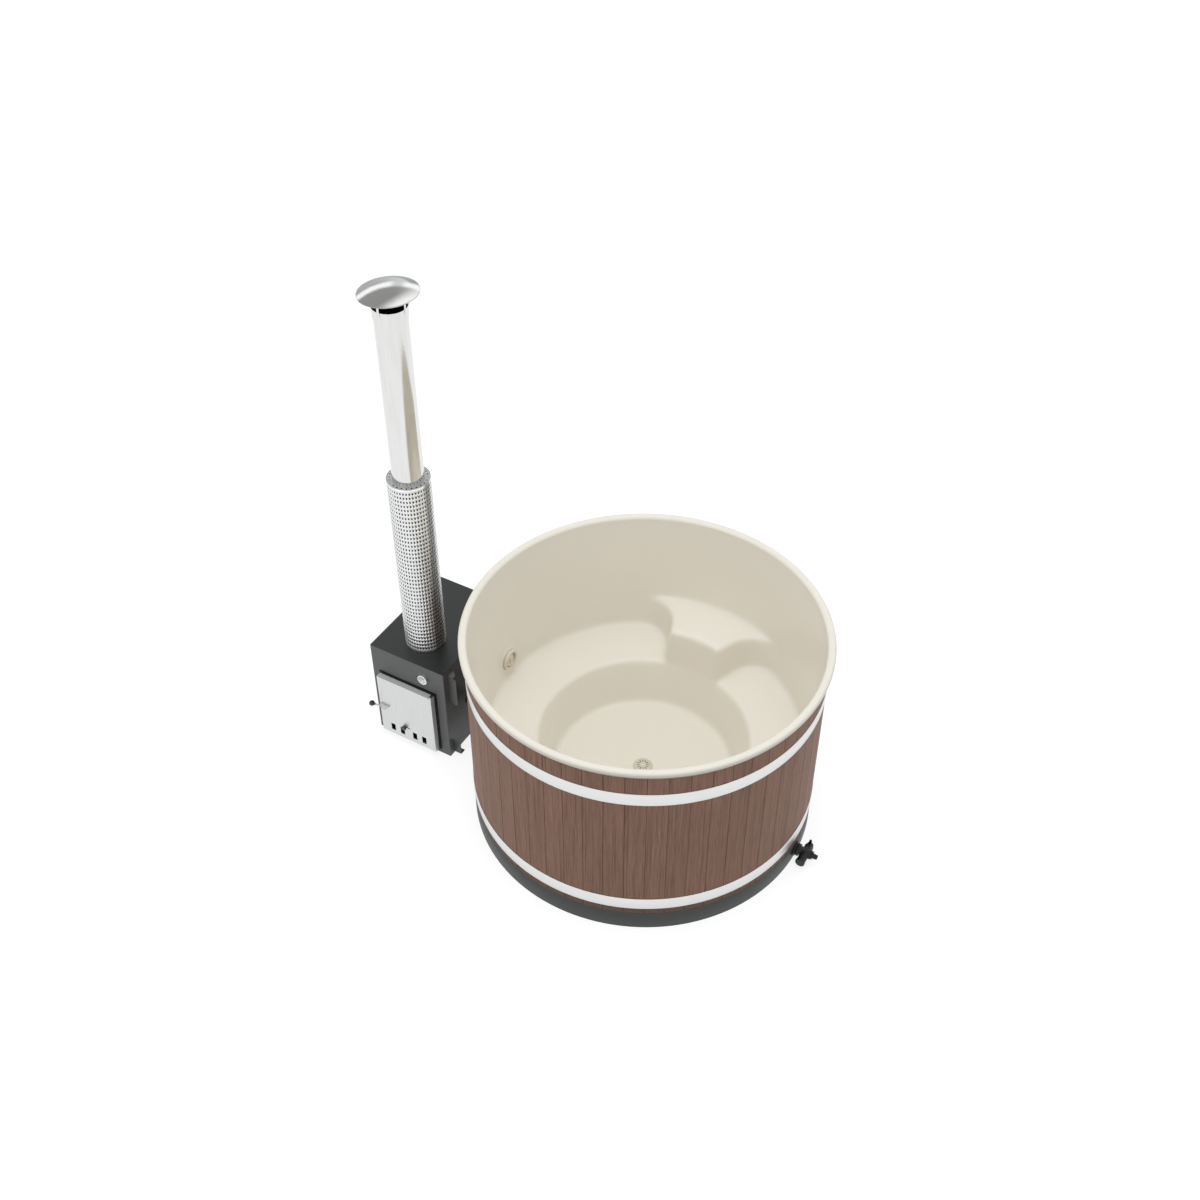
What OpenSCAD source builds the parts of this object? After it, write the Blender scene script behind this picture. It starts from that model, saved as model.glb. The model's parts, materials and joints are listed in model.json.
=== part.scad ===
// Wood-fired hot tub: a stave-clad moulded basin with a stove beside it.
// The origin is on the ground at the tub's axis, the stove lies towards -X
// with its door facing -Y, and the drain valve points towards +X.

/* [Tub] */
// Outer radius of the rim
rim_r = 800; // [796:1:806]
// Height of the rim's top above the ground
tub_h = 1020; // [1000:5:1060]
// Overhang of the rim beyond the staves
rim_overhang = 20; // [16:1:24]
// Width of the rounded rim, from its outer to its inner edge
rim_w = 36; // [35:1:42]
// Height of the rim's bead
bead_h = 40; // [34:1:46]
// Radius of the rim's outer rounding
rim_outer_round = 12; // [8:1:14]
// Radius of the rim's inner rounding
rim_inner_round = 16; // [8:1:18]
// Wall thickness of the moulded basin
liner_t = 6; // [5:0.5:7]
// Draft of the moulding, in mm of radius per mm of height
draft = 0.0817; // [0.07:0.001:0.09]

/* [Basin] */
// Height of the footwell's floor
floor_z = 160; // [150:1:180]
// Slope of the footwell's riser, as the run from the floor to the seat's edge
riser_run = 68; // [60:1:80]
// Radius of the fillet around the floor
floor_fillet = 30; // [15:1:45]
// Height of the seat at its front edge
seat_z = 375; // [340:1:400]
// Distance of the seat's front edge from the rim's outer edge
seat_in = 322; // [310:1:335]
// Rise of the seat from its front edge to the wall
seat_rise = 20; // [10:1:30]
// Radius of the rounding of the seat's front edge
seat_round = 25; // [15:1:30]
// Radius of the fillet between the seat and the wall
seat_fillet = 35; // [20:1:50]

/* [Entry step] */
// Height of the step's top above the ground
step_z = 565; // [520:1:600]
// Direction of the step from the tub's axis, in degrees
step_dir = 90; // [80:1:100]
// Width of the step across its front face
step_w = 254; // [220:1:290]
// Flare of each side of the step, in degrees
step_flare = 22; // [18:1:26]
// Radius of the hollow that runs from each side into the wall
step_flare_r = 90; // [70:1:110]
// Radius of the step's top edges
step_round = 22; // [12:1:26]

/* [Staves and hoops] */
// Number of staves around the tub
stave_n = 56; // [48:1:64]
// Thickness of a stave
stave_t = 18; // [17:0.5:20]
// Size of the chamfer along each stave's outer edges
stave_chamfer = 2; // [1:0.5:3]
// Width of a hoop
hoop_w = 65; // [50:1:80]
// Thickness of a hoop
hoop_t = 1.5; // [1:0.25:3]
// Height of the lower hoop's middle
lower_hoop_z = 168; // [150:1:400]
// Height of the upper hoop's middle
upper_hoop_z = 845; // [700:1:880]
// Gap between a hoop's ends
hoop_gap = 40; // [24:1:60]

/* [Base] */
// Height of the base ring
base_h = 102; // [100:1:120]
// Thickness of the base ring's sheet
base_t = 4; // [3:0.5:6]
// Width of the base ring's foot flange
foot_flange = 40; // [30:1:60]
// Width of the ledge that the staves stand on
stave_ledge = 34; // [30:1:36]
// Width of a floor joist
joist_w = 45; // [36:1:60]
// Thickness of the floor deck
deck_t = 15; // [12:1:20]
// Thickness of a panel that holds the seat
support_t = 18; // [12:1:24]

/* [Water fittings] */
// Outer radius of a fitting's threaded tube
tube_r = 24; // [20:0.5:25]
// Wall of a fitting's tube
tube_wall = 4; // [3:0.5:6]
// Length of a wall fitting behind its flange
fitting_l = 90; // [88:1:96]
// Height of the upper flow fitting
return_z = 500; // [470:1:505]
// Height of the lower flow fitting
intake_z = 242; // [240:1:250]
// Direction of the lower flow fitting, in degrees
intake_dir = 212; // [208:1:214]
// Radius of the upper flow cover
return_cover_r = 52; // [46:1:58]
// Radius of the lower flow cover
intake_cover_r = 36; // [34:1:38]
// Wall of a heater hose
hose_wall = 4; // [3:0.5:5]
// Middle radius of the feed hose's bends
hose_bend_r = 90; // [80:1:100]

/* [Drain] */
// Radius of the floor drain's cover
drain_cover_r = 46; // [38:1:56]
// Height of the drain pipe's axis
drain_z = 50; // [46:1:54]
// Outer radius of the drain pipe
drain_r = 25; // [22:0.5:27]
// Distance from the drain pipe's end to the valve's stem
valve_reach = 38; // [34:1:56]
// Radius of the valve's ball
ball_r = 15; // [12:0.5:16]
// Radius of the hose tail's nose
tail_r = 11; // [9:0.5:12]

/* [Stove] */
// Width of the stove's casing
casing_w = 410; // [400:1:440]
// Depth of the stove's casing
casing_d = 560; // [540:1:600]
// Height of the stove's casing
casing_h = 548; // [540:1:600]
// Gap between the tub's rim and the stove
stove_gap = 93; // [85:1:115]
// Thickness of the casing's sheet
sheet_t = 1.5; // [1:0.25:2]
// Wall of the water jacket
jacket_t = 4; // [3:0.5:6]
// Width of the firebox
firebox_w = 270; // [240:1:274]
// Number of bars in the grate
grate_n = 11; // [7:1:13]

/* [Stove door] */
// Width of the door
door_w = 308; // [306:1:330]
// Height of the door
door_h = 359; // [340:1:370]
// Depth of the door's pan
door_d = 28; // [28:0.5:34]
// Height of the door's lower edge
door_z = 36; // [34:1:40]
// Width of an air hole
air_hole_w = 24; // [18:0.5:24]
// Height of an air hole
air_hole_h = 43; // [30:1:46]
// Travel of the air slider
air_travel = 27; // [25:0.5:27]
// Radius of the latch's pivot pin
latch_pin_r = 4; // [3:0.25:4.5]
// Length of the latch handle, from its pivot to the ball knob
latch_l = 60; // [50:1:80]
// Radius of a hinge pin
hinge_pin_r = 3; // [2.5:0.25:3.25]

/* [Chimney] */
// Outer radius of the chimney pipe
flue_r = 70; // [66:1:74]
// Height of the chimney pipe's upper end
flue_top = 2326; // [1800:1:2600]
// Outer radius of the perforated guard
guard_r = 95; // [90:1:110]
// Height of the guard above the stove
guard_h = 950; // [600:1:1100]
// Number of holes around the guard
guard_columns = 20; // [16:2:28]
// Number of rows of holes in the guard
guard_rows = 19; // [12:1:28]
// Share of the pitch that a hole of the guard takes
guard_open = 0.5; // [0.4:0.02:0.6]
// Widest radius of the cap
cap_r = 125; // [110:1:140]
// Height of the cap's dome above its widest ring
cap_rise = 50; // [30:1:70]

/* [Thermometer] */
// Radius of the thermometer's case
dial_r = 26; // [22:1:32]

/* [Hidden] */
$fn = 96;

// Straight pieces in each rounded corner of a profile
corner_steps = 5;
// Gap between pieces that touch
fit_gap = 0.3;
// Radial clearance of a running fit
run_gap = 0.05;
// Overlap of a cut beyond the face that it opens
past = 1;

// The rim's bead hangs over the staves' heads.
stave_r = rim_r - rim_overhang;
bead_skirt_r = stave_r + 0.5;
bead_z = tub_h - bead_h;
bead_ledge_z = bead_z + 20;
wall_top_r = rim_r - rim_w;
wall_top_z = bead_ledge_z;
seat_back_z = seat_z + seat_rise;
function wall_r(z) = wall_top_r - draft * (wall_top_z - z);
seat_r = rim_r - seat_in;
floor_r = seat_r - riser_run;
function riser_r(z) = floor_r + (seat_r - floor_r) * (z - floor_z) / (seat_z - floor_z);

// The staves stand on the base ring and reach up into the bead.
stave_z = base_h;
stave_head_z = bead_ledge_z;
stave_pitch = 360 / stave_n;
stave_face_r = stave_r * cos(stave_pitch / 2);
// A stave's head is thinned to a tongue, down to where the wall leaves room.
wall_back_r = wall_top_r + liner_t * sqrt(1 + draft * draft);
head_tongue_t = stave_face_r - wall_back_r - fit_gap;
head_tongue_l = max(stave_t, (stave_t - head_tongue_t) / draft + 2);
hoop_r = stave_r + 0.1;

// The deck lies on the joists, between the ring's foot flange and its ledge.
deck_z = base_h - 6;
deck_r = stave_r - stave_ledge - 2;

// The drain goes down from the floor and out along +X.
hole_r = tube_r + 0.3;
tube_bore_r = tube_r - tube_wall;
nut_r = tube_r + 11;
nut_h = 12;
flange_h = 4;
drain_wall = 4;
drain_start_x = 46;
drain_end_x = stave_r + 14;
elbow_r = drain_r + 6;
valve_x = drain_end_x + valve_reach;
valve_inlet_x = drain_end_x - 4;
valve_outlet_x = valve_x + 26;
valve_port_r = 12;
valve_side_r = 20;
ball_hole_r = ball_r - 6;

// Each flow fitting stands on a flat pad of the moulding.
return_face_r = wall_r(return_z + return_cover_r) - 11;
return_pad_r = return_cover_r + 2;
return_back_r = return_face_r + 18;
intake_pad_r = intake_cover_r + 2;
intake_face_r = riser_r(intake_z - intake_pad_r) - 1;
intake_back_r = riser_r(intake_z + intake_pad_r) + liner_t + 2;
hose_r = tube_r + 0.1 + hose_wall;
feed_y = -100;
feed_turn = 45;
feed_start_r = intake_face_r + fitting_l - flange_h + 6;
feed_in = intake_dir - 180;
feed_drop = feed_start_r * sin(feed_in) + feed_y;
feed_straight = (feed_drop - hose_bend_r * (1 + cos(feed_in) - 2 * cos(feed_turn)))
    / sin(feed_turn);

// The stove's casing stands beside the tub.
stove_x = rim_r + stove_gap + casing_w / 2;
casing_right = -stove_x + casing_w / 2;
casing_left = -stove_x - casing_w / 2;
casing_front = -282;
casing_back = casing_front + casing_d;
port_end_x = casing_right + 24;
jacket_side = 20;
jacket_front = casing_front + 32;
jacket_back = casing_back - 20;
jacket_z = 40;
jacket_top = casing_h - 23;
firebox_z = 58;
firebox_back = jacket_back - 48;
firebox_spring_z = 300;

// The door closes on a frame that stands proud of the casing.
door_x = -stove_x - 5;
frame_t = 5.7;
frame_front = casing_front - fit_gap - frame_t;
mouth_w = door_w - 30;
mouth_z = door_z + 16;
mouth_h = door_h - 32;
lip_w = 8;
throat_t = 3;
gasket_t = 3.7;
gasket_w = 6;
door_back = frame_front - gasket_t - fit_gap;
door_front = door_back - door_d;
backing_t = 4;
hinge_x = door_x + door_w / 2 - 7;
hinge_y = door_back - 11;
hinge_boss_r = hinge_pin_r + 2.4;
hinge_boss_h = 14;
latch_x = door_x - mouth_w / 2 + latch_pin_r + 2;
latch_z = door_z + 171;
hook_y = casing_front + fit_gap + 0.4;
hook_t = 5;

// The air slider runs behind the door's front, between two guides.
air_z = door_z + 25;
air_x = [-90, -36, 36, 90];
slider_t = 1.5;
slider_low = air_z - 9;
slider_high = air_z + air_hole_h + 26;
slider_y = door_front + sheet_t + fit_gap;
knob_x = door_x - 19;
knob_z = air_z + air_hole_h + 15;
knob_stem_r = 3;

// The chimney stands over the firebox.
flue_x = -stove_x - 2;
flue_y = -118;
flue_wall = 1;
spigot_r = flue_r - flue_wall - 0.1;
guard_t = 1.5;
guard_top = casing_h + guard_h;
cap_collar_r = flue_r + 4;
cap_collar_z = flue_top - 36;
cap_z = flue_top + 69;
cap_t = 1.2;
cap_skirt_r = cap_r - 7;
cap_skirt_h = 17;
cap_leg_w = 12;
cap_leg_t = 2;

// The thermometer sits in the casing's front, above the door.
dial_x = door_x + 97;
dial_z = casing_h - 76;
dial_front = casing_front - 14;
// Cold reading: how far the needle leans from upright, to the left
needle_rest = -50;

// Profile helpers: a path of corners is shifted to its right and rounded.
function unit(v) = v / norm(v);
function right_of(v) = [v.y, -v.x];
function shifted(p, i, t) =
    let (a = right_of(unit(p[i] - p[i - 1])))
    let (b = right_of(unit(p[i + 1] - p[i])))
    p[i] + t * (a + b) / (1 + a * b);
function corner(a, b, c, r) =
    let (u = unit(a - b))
    let (w = unit(c - b))
    let (half = acos(u * w) / 2)
    let (centre = b + unit(u + w) * r / sin(half))
    let (from = b + u * r / tan(half) - centre)
    let (side = cross([u.x, u.y], [w.x, w.y]) > 0 ? -1 : 1)
    let (sweep = side * (180 - 2 * half))
    let (start = atan2(from.y, from.x))
    [for (k = [0 : corner_steps])
        centre + r * [cos(start + sweep * k / corner_steps),
                      sin(start + sweep * k / corner_steps)]];
function rounded(p, r) = [
    p[0],
    for (i = [1 : len(p) - 2])
        each (r[i] > 0 ? corner(p[i - 1], p[i], p[i + 1], r[i]) : [p[i]]),
    p[len(p) - 1]
];

module ring(outer, inner, h) {
    difference() {
        cylinder(r = outer, h = h);
        translate([0, 0, -past]) cylinder(r = inner, h = h + 2 * past);
    }
}

// A tube or rod along +X from x to x + l
module along_x(r, l) {
    rotate([0, 90, 0]) cylinder(r = r, h = l);
}

module along_y(r, l) {
    rotate([-90, 0, 0]) cylinder(r = r, h = l);
}

// Places a fitting with its axis pointing outward at a height
module outward(dir, r, z) {
    rotate([0, 0, dir]) translate([r, 0, z]) children();
}

module block(x1, x2, y1, y2, z1, z2) {
    translate([x1, y1, z1]) cube([x2 - x1, y2 - y1, z2 - z1]);
}

// Corners of the basin's visible section, from the drain to the wall's top
basin = [
    [hole_r, floor_z],
    [floor_r, floor_z],
    [seat_r, seat_z],
    [wall_r(seat_back_z), seat_back_z],
    [wall_top_r, wall_top_z]
];
basin_round = [0, floor_fillet, seat_round, seat_fillet, 0];
// The back of the moulding turns the same corners at the wall's thickness.
basin_back = [
    basin[0] - [0, liner_t],
    shifted(basin, 1, liner_t),
    shifted(basin, 2, liner_t),
    shifted(basin, 3, liner_t),
    [wall_back_r, wall_top_z]
];
basin_back_round = [0, floor_fillet + liner_t, seat_round - liner_t,
                    seat_fillet + liner_t, 0];
bead = [
    [wall_top_r, wall_top_z],
    [wall_top_r, tub_h],
    [rim_r, tub_h],
    [rim_r, bead_z + bead_h / 2],
    [bead_skirt_r + liner_t, bead_z]
];
bead_round = [0, rim_inner_round, rim_outer_round, rim_outer_round, 0];

module basin_shell() {
    front = rounded(basin, basin_round);
    back = rounded(basin_back, basin_back_round);
    rim = rounded(bead, bead_round);
    rotate_extrude($fn = 180)
        polygon(concat(
            front,
            [for (i = [1 : len(rim) - 1]) rim[i]],
            [[bead_skirt_r, bead_z], [bead_skirt_r, bead_ledge_z]],
            [for (i = [len(back) - 1 : -1 : 0]) back[i]]
        ));
}

// The entry step, as a solid whose faces lie t inside the visible ones
side_n = [-sin(step_flare), cos(step_flare)];
side_d = [cos(step_flare), sin(step_flare)];
step_front_r = seat_r + draft * (step_z - seat_z);
step_half = asin(step_w / 2 / step_front_r);
side_offset = step_front_r * (cos(step_half) * side_n.x + sin(step_half) * side_n.y);
flare_foot = sqrt(pow(wall_r(step_z) - step_flare_r, 2)
    - pow(side_offset + step_flare_r, 2));
flare_c = (side_offset + step_flare_r) * side_n + flare_foot * side_d;
flare_angle = atan2(flare_c.y, flare_c.x);

module step_sector(t) {
    low_z = seat_z - 20;
    front = [[riser_r(low_z), low_z], [seat_r, seat_z], [step_front_r, step_z],
             [wall_r(step_z) + 2, step_z]];
    face = t == 0 ? front : [
        front[0] + t * right_of(unit(front[1] - front[0])),
        shifted(front, 1, t), shifted(front, 2, t),
        [wall_r(step_z) + 3 * liner_t, step_z - t]
    ];
    under = t == 0 ? [wall_r(seat_back_z) + 2, seat_back_z - liner_t / 2]
                   : [wall_r(step_z) + 3 * liner_t, seat_z - 20];
    foot = t == 0 ? [seat_r + 2, seat_z - liner_t / 2] : under;
    rotate([0, 0, -flare_angle])
        rotate_extrude(angle = 2 * flare_angle, $fn = 180)
            polygon(concat(rounded(face, [0, 60 - t, step_round - t, 0]), [under, foot]));
}

// Everything outside one side of the step: a flat face, then a round hollow
module step_side_cut(t) {
    r = step_round - t;
    top = step_z - t;
    edge_z = top - r;
    low = seat_z - 40;
    edge = draft * (step_z - edge_z) - t;
    low_edge = draft * (step_z - low) - t;
    over = [for (k = [0 : corner_steps])
        [edge - r + r * sin(90 * k / corner_steps), edge_z + r * cos(90 * k / corner_steps)]];
    reach = 150;
    rotate([0, 0, step_flare])
        translate([flare_foot, side_offset, 0])
            rotate([90, 0, -90])
                linear_extrude(flare_foot - 0.7 * seat_r)
                    mirror([1, 0])
                        polygon(concat([[-t - r, top + 9]], over,
                            [[low_edge, low], [reach, low], [reach, top + 9]]));
    translate([flare_c.x, flare_c.y, 0])
        rotate_extrude()
            polygon(concat([[step_flare_r + t + r, top + 9]],
                [for (q = over) [step_flare_r - q.x, q.y]],
                [[step_flare_r - low_edge, low], [0, low], [0, top + 9]]));
}

module step_form(t) {
    rotate([0, 0, step_dir]) difference() {
        step_sector(t);
        step_side_cut(t);
        mirror([0, 1, 0]) step_side_cut(t);
    }
}

module flow_pad(dir, z, face_r, back_r, pad_r) {
    outward(dir, face_r, z) along_x(pad_r, back_r - face_r);
}

module flow_hole(dir, z, face_r) {
    outward(dir, face_r - past, z) along_x(hole_r, 60);
}

module liner() {
    color([0.9, 0.87, 0.82]) difference() {
        union() {
            difference() {
                union() {
                    basin_shell();
                    step_form(0);
                }
                step_form(liner_t);
            }
            flow_pad(180, return_z, return_face_r, return_back_r, return_pad_r);
            flow_pad(intake_dir, intake_z, intake_face_r, intake_back_r, intake_pad_r);
        }
        flow_hole(180, return_z, return_face_r);
        flow_hole(intake_dir, intake_z, intake_face_r);
    }
}

module base_ring() {
    color([0.28, 0.29, 0.29]) difference() {
        rotate_extrude($fn = 180) polygon([
            [stave_r - foot_flange, 0], [stave_r, 0], [stave_r, base_h],
            [stave_r - stave_ledge, base_h], [stave_r - stave_ledge, base_h - base_t],
            [stave_r - base_t, base_h - base_t], [stave_r - base_t, base_t],
            [stave_r - foot_flange, base_t]
        ]);
        translate([stave_r - foot_flange - past, 0, drain_z])
            along_x(drain_r + 1, foot_flange + 2 * past);
    }
}

joist_y = [-620, -385, -150, 150, 385, 620];
module floor_joists() {
    end_r = stave_r - base_t - 2;
    color([0.55, 0.42, 0.3]) for (y = joist_y) {
        half = sqrt(end_r * end_r - pow(abs(y) + joist_w / 2, 2));
        block(-half, half, y - joist_w / 2, y + joist_w / 2, base_t, deck_z);
    }
}

module floor_deck() {
    color([0.62, 0.5, 0.36]) translate([0, 0, deck_z])
        ring(deck_r, nut_r + 8, deck_t);
}

module floor_insulation() {
    top = floor_z - liner_t;
    color([0.85, 0.88, 0.9]) translate([0, 0, deck_z + deck_t])
        ring(floor_r - floor_fillet, nut_r + 8, top - deck_z - deck_t);
}

support_angles = [0, 45, 135, 160, 225, 270, 315];
module seat_supports() {
    r1 = seat_r + 27;
    r2 = wall_r(seat_back_z) - seat_fillet - 8;
    slope = seat_rise / (wall_r(seat_back_z) - seat_r);
    under = liner_t * sqrt(1 + slope * slope);
    color([0.62, 0.5, 0.36]) for (a = support_angles)
        rotate([0, 0, a])
            translate([0, support_t / 2, 0])
                rotate([90, 0, 0])
                    linear_extrude(support_t)
                        polygon([
                            [r1, deck_z + deck_t], [r2, deck_z + deck_t],
                            [r2, seat_z + (r2 - seat_r) * slope - under],
                            [r1, seat_z + (r1 - seat_r) * slope - under]
                        ]);
}

// One stave in plan, with a tongue on one edge and a groove on the other.
// A point on an edge is given by its distance along the joint and into it.
tongue_l = 4;
tongue_w = 5;
tongue_gap = 0.3;
joint_gap = 0.15;
half_pitch = stave_pitch / 2;
function on_edge(r, side, out) = [
    r * cos(half_pitch) - side * out * sin(half_pitch),
    side * (r * sin(half_pitch) - joint_gap) + out * cos(half_pitch)
];
function stave_plan(thick) =
    let (back = (stave_face_r - thick) / cos(half_pitch))
    let (c = stave_chamfer)
    let (mid = stave_r - head_tongue_t - tongue_w / 2 - tongue_gap - 1.5)
    let (w = tongue_w / 2)
    let (g = tongue_w / 2 + tongue_gap)
    let (deep = tongue_l + tongue_gap)
    let (jointed = back < mid - g)
    [
        on_edge(back, -1, 0),
        each (jointed ? [on_edge(mid - g, -1, 0), on_edge(mid - g, -1, deep),
                         on_edge(mid + g, -1, deep), on_edge(mid + g, -1, 0)] : []),
        on_edge(stave_r - c, -1, 0),
        on_edge(stave_r, -1, 0) + [0, c],
        on_edge(stave_r, 1, 0) - [0, c],
        on_edge(stave_r - c, 1, 0),
        each (jointed ? [on_edge(mid + w, 1, 0), on_edge(mid + w, 1, tongue_l),
                         on_edge(mid - w, 1, tongue_l), on_edge(mid - w, 1, 0)] : []),
        on_edge(back, 1, 0)
    ];

module staves() {
    shoulder = stave_head_z - head_tongue_l;
    color([0.46, 0.35, 0.31]) difference() {
        for (i = [0 : stave_n - 1])
            rotate([0, 0, (i + 0.5) * stave_pitch - 61]) {
                translate([0, 0, stave_z]) linear_extrude(shoulder - stave_z)
                    polygon(stave_plan(stave_t));
                translate([0, 0, shoulder]) linear_extrude(head_tongue_l)
                    polygon(stave_plan(head_tongue_t));
            }
        translate([-stave_r - past, 0, return_z]) along_x(hose_r + 3, 60);
        translate([-stave_r - past, feed_y, intake_z]) along_x(hose_r + 3, 60);
    }
}

// Half the angle that a hoop's gap takes at the rear
gap_half = asin(hoop_gap / 2 / hoop_r);
module hoop_part(from, to, r1, r2, z1, z2) {
    rotate([0, 0, 90 + from])
        rotate_extrude(angle = to - from, $fn = 180)
            polygon([[r1, z1], [r2, z1], [r2, z2], [r1, z2]]);
}

module hoop(z) {
    color([0.87, 0.89, 0.89])
        hoop_part(gap_half, 360 - gap_half, hoop_r, hoop_r + hoop_t,
            z - hoop_w / 2, z + hoop_w / 2);
}

module upper_hoop() {
    hoop(upper_hoop_z);
}

module lower_hoop() {
    hoop(lower_hoop_z);
}

lug_t = 4;
lug_reach = 34;
lug_h = hoop_w - 20;
bolt_r = 5;
lug_r = hoop_r + hoop_t;
bolt_y = lug_r + lug_reach / 2 + 2;
lug_a = asin(lug_t / lug_r);
module hoop_lug(z) {
    difference() {
        union() {
            hoop_part(gap_half, gap_half + 3.5, lug_r, lug_r + 3, z - lug_h / 2, z + lug_h / 2);
            hoop_part(gap_half, gap_half + lug_a, lug_r, lug_r + lug_reach,
                z - lug_h / 2, z + lug_h / 2);
        }
        translate([-hoop_gap, bolt_y, z]) along_x(bolt_r + 0.5, 2 * hoop_gap);
    }
}

module hoop_lugs() {
    color([0.8, 0.82, 0.82]) for (z = [lower_hoop_z, upper_hoop_z]) {
        hoop_lug(z);
        mirror([1, 0, 0]) hoop_lug(z);
    }
}

lug_out = hoop_gap / 2 * (lug_r + lug_reach) / hoop_r + lug_t * 1.1 + 0.4;
module hoop_bolts() {
    color([0.75, 0.77, 0.77]) for (z = [lower_hoop_z, upper_hoop_z])
        translate([0, bolt_y, z]) {
            translate([-lug_out, 0, 0]) along_x(bolt_r, 2 * lug_out + 14);
            translate([-lug_out - 6, 0, 0]) rotate([0, 90, 0]) cylinder(r = 9, h = 6, $fn = 6);
        }
}

module hoop_nuts() {
    color([0.75, 0.77, 0.77]) for (z = [lower_hoop_z, upper_hoop_z])
        translate([lug_out, bolt_y, z]) rotate([0, 90, 0]) difference() {
            cylinder(r = 9, h = 8, $fn = 6);
            translate([0, 0, -past]) cylinder(r = bolt_r + run_gap, h = 8 + 2 * past);
        }
}

drain_cover_h = 10;
module drain_cover() {
    color([0.88, 0.85, 0.79]) translate([0, 0, floor_z]) difference() {
        rotate_extrude() polygon([
            [0, drain_cover_h - 3], [drain_cover_r - 8, drain_cover_h - 3],
            [drain_cover_r - 5, 0], [drain_cover_r, 0],
            [drain_cover_r - 1, 4], [drain_cover_r - 6, drain_cover_h - 2],
            [drain_cover_r - 12, drain_cover_h], [0, drain_cover_h]
        ]);
        for (a = [0 : 30 : 330]) rotate([0, 0, a])
            block(16, 30, -2, 2, 0, drain_cover_h + past);
    }
}

module pipe_fitting(l) {
    difference() {
        union() {
            cylinder(r = tube_r + 8, h = flange_h);
            cylinder(r = tube_r, h = l);
        }
        translate([0, 0, -past]) cylinder(r = tube_bore_r, h = l + 2 * past);
    }
}

drain_drop = floor_z - drain_z - elbow_r + 4;
module drain_fitting() {
    color([0.7, 0.7, 0.7]) translate([0, 0, floor_z + flange_h])
        mirror([0, 0, 1]) pipe_fitting(drain_drop + flange_h);
}

module fitting_nut() {
    difference() {
        cylinder(r = nut_r, h = nut_h, $fn = 6);
        translate([0, 0, -past]) cylinder(r = tube_r + run_gap, h = nut_h + 2 * past);
    }
}

module fitting_nuts() {
    color([0.25, 0.26, 0.27]) {
        translate([0, 0, floor_z - liner_t - nut_h]) fitting_nut();
        outward(180, return_back_r, return_z) rotate([0, 90, 0]) fitting_nut();
        outward(intake_dir, intake_back_r, intake_z) rotate([0, 90, 0]) fitting_nut();
    }
}

module drain_elbow() {
    top = floor_z - drain_drop + 20;
    color([0.55, 0.56, 0.57]) difference() {
        union() {
            translate([0, 0, drain_z]) cylinder(r = elbow_r, h = top - drain_z);
            translate([0, 0, drain_z]) sphere(r = elbow_r);
            translate([0, 0, drain_z]) along_x(elbow_r, drain_start_x + 20);
        }
        translate([0, 0, floor_z - drain_drop])
            cylinder(r = tube_r + run_gap, h = 20 + past);
        translate([0, 0, drain_z]) cylinder(r = tube_bore_r, h = top - drain_z);
        translate([0, 0, drain_z]) sphere(r = tube_bore_r);
        translate([0, 0, drain_z]) along_x(tube_bore_r, drain_start_x + 21);
        translate([drain_start_x, 0, drain_z]) along_x(drain_r + run_gap, 21);
    }
}

module drain_pipe() {
    color([0.6, 0.61, 0.62]) translate([drain_start_x, 0, drain_z]) difference() {
        along_x(drain_r, drain_end_x - drain_start_x);
        translate([-past, 0, 0])
            along_x(drain_r - drain_wall, drain_end_x - drain_start_x + 2 * past);
    }
}

module valve_flange() {
    back_x = stave_r + 0.2;
    color([0.12, 0.12, 0.13]) translate([back_x, 0, drain_z]) difference() {
        union() {
            along_x(drain_r + 9, 7);
            along_x(drain_r + 4, valve_inlet_x - back_x - fit_gap);
        }
        translate([-past, 0, 0]) along_x(drain_r + run_gap, 40);
    }
}

module valve_body() {
    color([0.1, 0.1, 0.11]) translate([0, 0, drain_z]) difference() {
        union() {
            translate([valve_inlet_x, 0, 0]) along_x(drain_r + 4, 14);
            translate([valve_inlet_x, 0, 0]) along_x(valve_side_r + 2, valve_outlet_x - valve_inlet_x);
            translate([valve_x, -58, 0]) along_y(valve_side_r, 98);
        }
        translate([valve_inlet_x - past, 0, 0]) along_x(drain_r + run_gap, 5 + past);
        translate([valve_inlet_x, 0, 0]) along_x(valve_port_r, valve_outlet_x - valve_inlet_x - 8);
        translate([valve_outlet_x - 12, 0, 0]) along_x(tail_r + 4.3, 12 + past);
        translate([valve_x, 0, 0]) sphere(r = ball_r + 0.3);
        translate([valve_x, 0, 0]) along_y(5.05, 41);
    }
}

module valve_ball() {
    color([0.8, 0.8, 0.82]) translate([valve_x, 0, drain_z]) difference() {
        union() {
            sphere(r = ball_r);
            along_y(5, 41);
        }
        translate([0, 0, -ball_r - past]) cylinder(r = ball_hole_r, h = 2 * (ball_r + past));
    }
}

handle_y = 41;
module valve_handle() {
    color([0.13, 0.13, 0.14]) translate([valve_x, handle_y, drain_z]) difference() {
        union() {
            along_y(15, 13);
            block(-6, 6, 4, 11, -30, 30);
            for (s = [-1, 1]) translate([0, 4, s * 30]) along_y(6, 7);
        }
        translate([0, 9, 0]) along_y(4.05, 5);
    }
}

module handle_screw() {
    color([0.86, 0.87, 0.87]) translate([valve_x, handle_y + 9, drain_z]) {
        along_y(4, 5);
        translate([0, 4, 0]) rotate([-90, 0, 0])
            rotate_extrude() polygon([[0, 0], [7, 0], [7, 2], [5, 4.5], [0, 5]]);
    }
}

module valve_end_cap() {
    color([0.15, 0.15, 0.16]) translate([valve_x, -58, drain_z]) rotate([90, 0, 0])
        rotate_extrude() polygon([
            [0, 0], [valve_side_r + 2, 0], [valve_side_r + 2, 7],
            [valve_side_r, 9], [0, 9]
        ]);
}

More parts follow.
